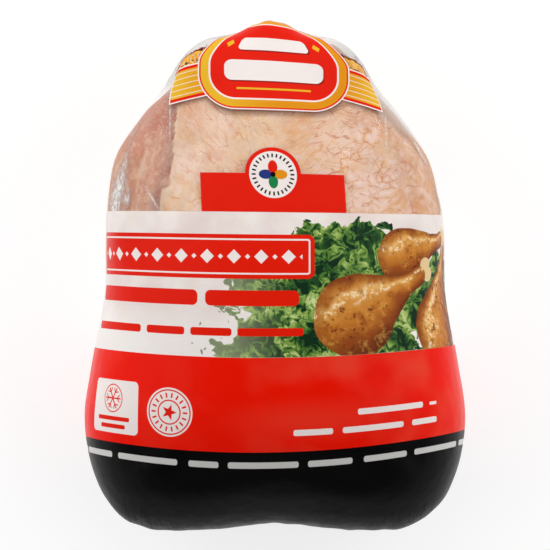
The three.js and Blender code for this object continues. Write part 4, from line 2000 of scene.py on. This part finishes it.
    def muscle(self, ground: Ground) -> Value:
        """Lay the bare flesh: pink muscle in soft bands, browner at the outer side, with painted shade at
        the top and by the torn skin.

        Args:
            ground: What the layers share.

        Returns:
            The colour.
        """
        sheet, where, plan, middle = ground.sheet, ground.where, ground.plan, ground.middle
        fibre = sheet.noise(sheet.turned(where, 64.0, (0.018, 0.0052)), 1.0)
        blotch = sheet.noise(sheet.shoved(where, 0.006, 0.004), 0.0044, 2.5, 0.6)
        thread = sheet.noise(sheet.turned(where, 78.0, (0.0075, 0.0016)), 1.0, 2.0, 0.6)
        low = plan.v.ramp(66.0, 34.0)
        colour = sheet.mix(low * 0.55 + middle.ramp(0.36, 0.64) * 0.35, self.flesh, self.pale_flesh)
        colour = sheet.mottle(colour, plan.u, (-50.0, -64.0, 0.85, self.brown_flesh))
        colour = sheet.mottle(colour, fibre, (0.5, 0.72, 0.4, self.fat), (0.5, 0.32, 0.45, self.flesh))
        colour = sheet.mottle(
            colour, blotch, (0.48, 0.68, 0.5, self.pale_flesh), (0.5, 0.32, 0.5, self.rose_flesh)
        )
        colour = sheet.mottle(colour, thread, (0.5, 0.7, 0.26, self.fat), (0.5, 0.3, 0.32, self.rose_flesh))
        # Rosier toward the top, and darker there with painted shade.
        colour = sheet.mottle(
            colour, plan.v, (50.0, 70.0, 0.4, self.rose_flesh), (52.0, 66.0, 0.3, self.shade_flesh)
        )
        brink = sheet.attribute("brink") * (low * 0.5 + 0.3) * middle.ramp(0.34, 0.56)
        colour = sheet.mix(brink, colour, self.shade_flesh)
        return sheet.mottle(colour, ground.fine, (0.46, 0.34, middle.ramp(0.46, 0.58) * 0.45, self.blood))

    def material(self) -> Material:
        """Make the material of the bird.

        Returns:
            The material, with flesh where the bird is bare and blood along the torn edge.
        """
        sheet = Sheet.named("raw_skin")
        where = sheet.place()
        x, y, z = sheet.apart(where)
        plan = Spot(sheet, x / MM, y / MM)
        middle = sheet.noise(where, 0.0095, 3.0, 0.6)
        fine = sheet.noise(where, 0.0028, 4.0, 0.65)
        grit = sheet.noise(where, 0.0011, 2.0, 0.6)
        ground = Ground(sheet, where, plan, middle, fine, plan.u.ramp(4.0, 24.0))
        skin, lumps = self.webbed(ground, self.lined(ground, self.clouded(ground)))
        skin = sheet.mix(fine.ramp(0.54, 0.76) * 0.2 + grit.ramp(0.52, 0.72) * 0.2, skin, self.fat)
        skin = sheet.mix(fine.ramp(0.44, 0.28) * 0.2 + grit.ramp(0.46, 0.28) * 0.2, skin, self.peach)
        # Painted shade: the skin darker and browner in a band low on the sides.
        skin = sheet.mix(z.ramp(0.070, 0.050) * (z.ramp(0.024, 0.044) * 0.4 + 0.25), skin, self.side)
        skin = sheet.mix(sheet.attribute("lip") * 0.7, skin, self.fat)
        flesh = sheet.mottle(
            self.muscle(ground), grit, (0.52, 0.7, 0.34, self.fat), (0.46, 0.28, 0.34, self.rose_flesh)
        )
        colour = sheet.mix(sheet.attribute("flesh"), skin, flesh)
        torn = sheet.attribute("torn") * sheet.noise(where, 0.0042, 1.0).ramp(0.48, 0.62)
        colour = sheet.mix(torn * 0.75, colour, self.blood)
        spots = sheet.value("TexVoronoi", {}, {"Vector": where, "Scale": 1 / self.spot_step})
        colour = sheet.mottle(colour, spots, (0.09, 0.03, middle.ramp(0.5, 0.58) * 0.5, self.blood))
        height = fine * 0.3 + grit * 0.07 + lumps * 0.6
        shader = sheet.principled({
            "Base Color": colour,
            "Roughness": fine * 0.25 + 0.32,
            "IOR": self.ior,
            "Specular IOR Level": self.shine,
            "Subsurface Weight": self.glow_share,
            "Subsurface Radius": self.glow_reach,
            "Subsurface Scale": self.glow_depth,
            "Normal": sheet.bump(height, self.relief),
        })
        return sheet.surface(shader)


@dataclass(frozen=True)
class LooseFilmFinish:
    """Film that is gathered or hangs free: milky, glossy and partly see-through."""

    milk: Colour = srgb(222, 221, 218)
    white: Colour = srgb(243, 242, 240)
    clear: Colour = (0.97, 0.965, 0.96, 1.0)
    cover: float = 0.52
    cover_swing: float = 0.36
    gloss: float = 0.26
    gloss_swing: float = 0.2
    ior: float = 1.45
    crumple_size: float = 0.0024
    relief: float = 0.00016

    def material(self) -> Material:
        """Make the material of the neck and the frill.

        Returns:
            The material, crumpled along the bag's length.
        """
        sheet = Sheet.named("loose_film")
        x, y, z = sheet.apart(sheet.place())
        crumple = sheet.noise(sheet.joined(x, y * 0.4, z * 0.3), self.crumple_size)
        body = sheet.principled({
            "Base Color": sheet.mix(crumple.ramp(0.4, 0.65), self.milk, self.white),
            "Roughness": crumple * self.gloss_swing + (self.gloss - self.gloss_swing / 2),
            "IOR": self.ior,
            "Normal": sheet.bump(crumple, self.relief),
        })
        through = sheet.value("BsdfTransparent", {}, {"Color": self.clear})
        share = crumple.ramp(0.35, 0.7) * self.cover_swing + (self.cover - self.cover_swing / 3)
        return sheet.surface(sheet.mix_shader(share, through, body))


@dataclass(frozen=True)
class ClipFinish:
    """Soft aluminium, dulled and scratched where the pliers bent it."""

    metal: Colour = srgb(196, 198, 202)
    dull: Colour = srgb(150, 152, 156)
    brush_size: float = 1 / 900
    brush_run: float = 9.0
    dent_size: float = 0.0014
    relief: float = 0.0001

    def material(self) -> Material:
        """Make the material of the clip.

        Returns:
            The material, brushed round the clip and dented.
        """
        sheet = Sheet.named("crimped_metal")
        where = sheet.place()
        x, y, z = sheet.apart(where)
        brushed = sheet.noise(sheet.joined(x, y, z * self.brush_run), self.brush_size, 3.0)
        dents = sheet.noise(where, self.dent_size)
        shader = sheet.principled({
            "Base Color": sheet.mix(dents.ramp(0.4, 0.7), self.metal, self.dull),
            "Metallic": 1.0,
            "Roughness": brushed * 0.25 + 0.25,
            "Normal": sheet.bump(brushed * 0.4 + dents * 0.6, self.relief),
        })
        return sheet.surface(shader)


# ---- Studio ----


@dataclass(frozen=True)
class SoftBox:
    """A soft light: where it stands, its width and height, and its power in watts."""

    name: str
    place: Triple
    size: Pair
    power: float


@dataclass
class Studio:
    """Camera straight above the breast, soft boxes all round and a pale floor."""

    view_pixels: int = 550
    pixel_size: float = 0.43222 * MM
    focus_height: float = 0.045
    camera_height: float = 2.5
    sensor: float = 36.0
    sky_top: float = 0.08
    sky_side: float = 0.75
    floor_half: float = 1.6
    floor_drop: float = 0.0005
    floor_colour: Colour = (0.35, 0.35, 0.35, 1.0)
    floor_glow: float = 0.72
    boxes: tuple[SoftBox, ...] = (
        SoftBox("left_box", (-1.2, 0.2, 0.85), (1.6, 1.5), 9.4),
        SoftBox("right_box", (1.2, 0.1, 0.95), (1.6, 1.5), 9.6),
        SoftBox("leg_box", (0.0, 1.3, 1.0), (1.8, 1.3), 8.6),
        SoftBox("neck_box", (0.0, -1.4, 0.9), (1.8, 0.9), 3.0),
        SoftBox("left_strip", (-1.1, -0.9, 0.42), (0.045, 0.7), 0.9),
        SoftBox("right_strip", (1.1, -0.9, 0.42), (0.045, 0.7), 0.9),
        SoftBox("left_leg_strip", (-1.0, 1.1, 0.42), (0.045, 0.7), 0.9),
        SoftBox("right_leg_strip", (1.0, 1.1, 0.42), (0.045, 0.7), 0.9),
    )

    def build_camera(self) -> None:
        """Stand the camera above the pack; its lens frames the width at the focus height."""
        data = bpy.data.cameras.new("camera")
        data.sensor_width = self.sensor
        data.lens = self.sensor * self.camera_height / (self.view_pixels * self.pixel_size)
        camera = bpy.data.objects.new("camera", data)
        camera.location = (0, 0, self.focus_height + self.camera_height)
        bpy.context.scene.collection.objects.link(camera)
        bpy.context.scene.camera = camera

    def build_lights(self) -> None:
        """Place the soft boxes, each turned to the pack, and a dim even sky."""
        for box in self.boxes:
            data = bpy.data.lights.new(box.name, "AREA")
            data.shape = "RECTANGLE"
            data.size, data.size_y = box.size
            data.energy = box.power
            light = bpy.data.objects.new(box.name, data)
            light.location = box.place
            towards = Vector((0, 0, self.focus_height)) - light.location
            light.rotation_euler = towards.to_track_quat("-Z", "Y").to_euler()
            bpy.context.scene.collection.objects.link(light)
        world = bpy.data.worlds.new("sky")
        sheet = Sheet(world)
        _, along, up = sheet.apart(sheet.value("TexCoord", output="Generated"))
        strength = up.ramp(0.9, 0.55) * along.ramp(-0.5, 0.3) * (self.sky_side - self.sky_top) + self.sky_top
        sky = sheet.value("Background", {}, {"Color": PLAIN, "Strength": strength})
        sheet.node("OutputWorld", {}, {"Surface": sky})
        bpy.context.scene.world = world
        bpy.context.scene.view_settings.view_transform = "Standard"

    def build_floor(self) -> None:
        """Lay the floor just under the pack."""
        half, low = self.floor_half, -self.floor_drop
        corners = np.array([[-half, -half, low], [half, -half, low], [half, half, low], [-half, half, low]])
        floor = mesh_object("floor", corners, [np.array([[0, 1, 2, 3]])])
        sheet = Sheet.named("floor")
        plain = sheet.principled({
            "Base Color": self.floor_colour,
            "Roughness": 1.0,
            "Specular IOR Level": 0.0,
            "Emission Color": PLAIN,
            "Emission Strength": self.floor_glow,
        })
        dress(floor, sheet.surface(plain))


# ---- Main ----


def add_piece(obj: Object, node: str) -> None:
    """Let a piece ride on the pack's one body and stand for a CAD node, which is hidden.

    Args:
        obj: The piece.
        node: The CAD node that it stands for.
    """
    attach(obj, "root")
    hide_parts(node)
    log.info("%s: %d faces, stands for %s", obj.name, len(obj.data.polygons), node)


def main() -> None:
    """Build the scene."""
    logging.basicConfig(level=logging.INFO, format="%(message)s")
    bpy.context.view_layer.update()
    studio = Studio()
    studio.build_camera()
    studio.build_lights()
    studio.build_floor()

    form = PackForm()
    form.fit(*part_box(BAG_NODE))
    bird_shape = Bird(form)
    film = Film(form).build(bird_shape)
    dress(film, FilmFinish().material())
    add_piece(film, BAG_NODE)

    bird = bird_shape.build()
    dress(bird, SkinFinish().material())
    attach(bird, "root")
    log.info("bird: %d faces", len(bird.data.polygons))

    closure = Closure(form)
    loose = LooseFilmFinish().material()
    for piece in (closure.build_neck(), closure.build_frill()):
        dress(piece, loose)
        add_piece(piece, BAG_NODE)
    clip = closure.build_clip()
    dress(clip, ClipFinish().material())
    add_piece(clip, CLIP_NODE)


if __name__ == "__main__":
    main()
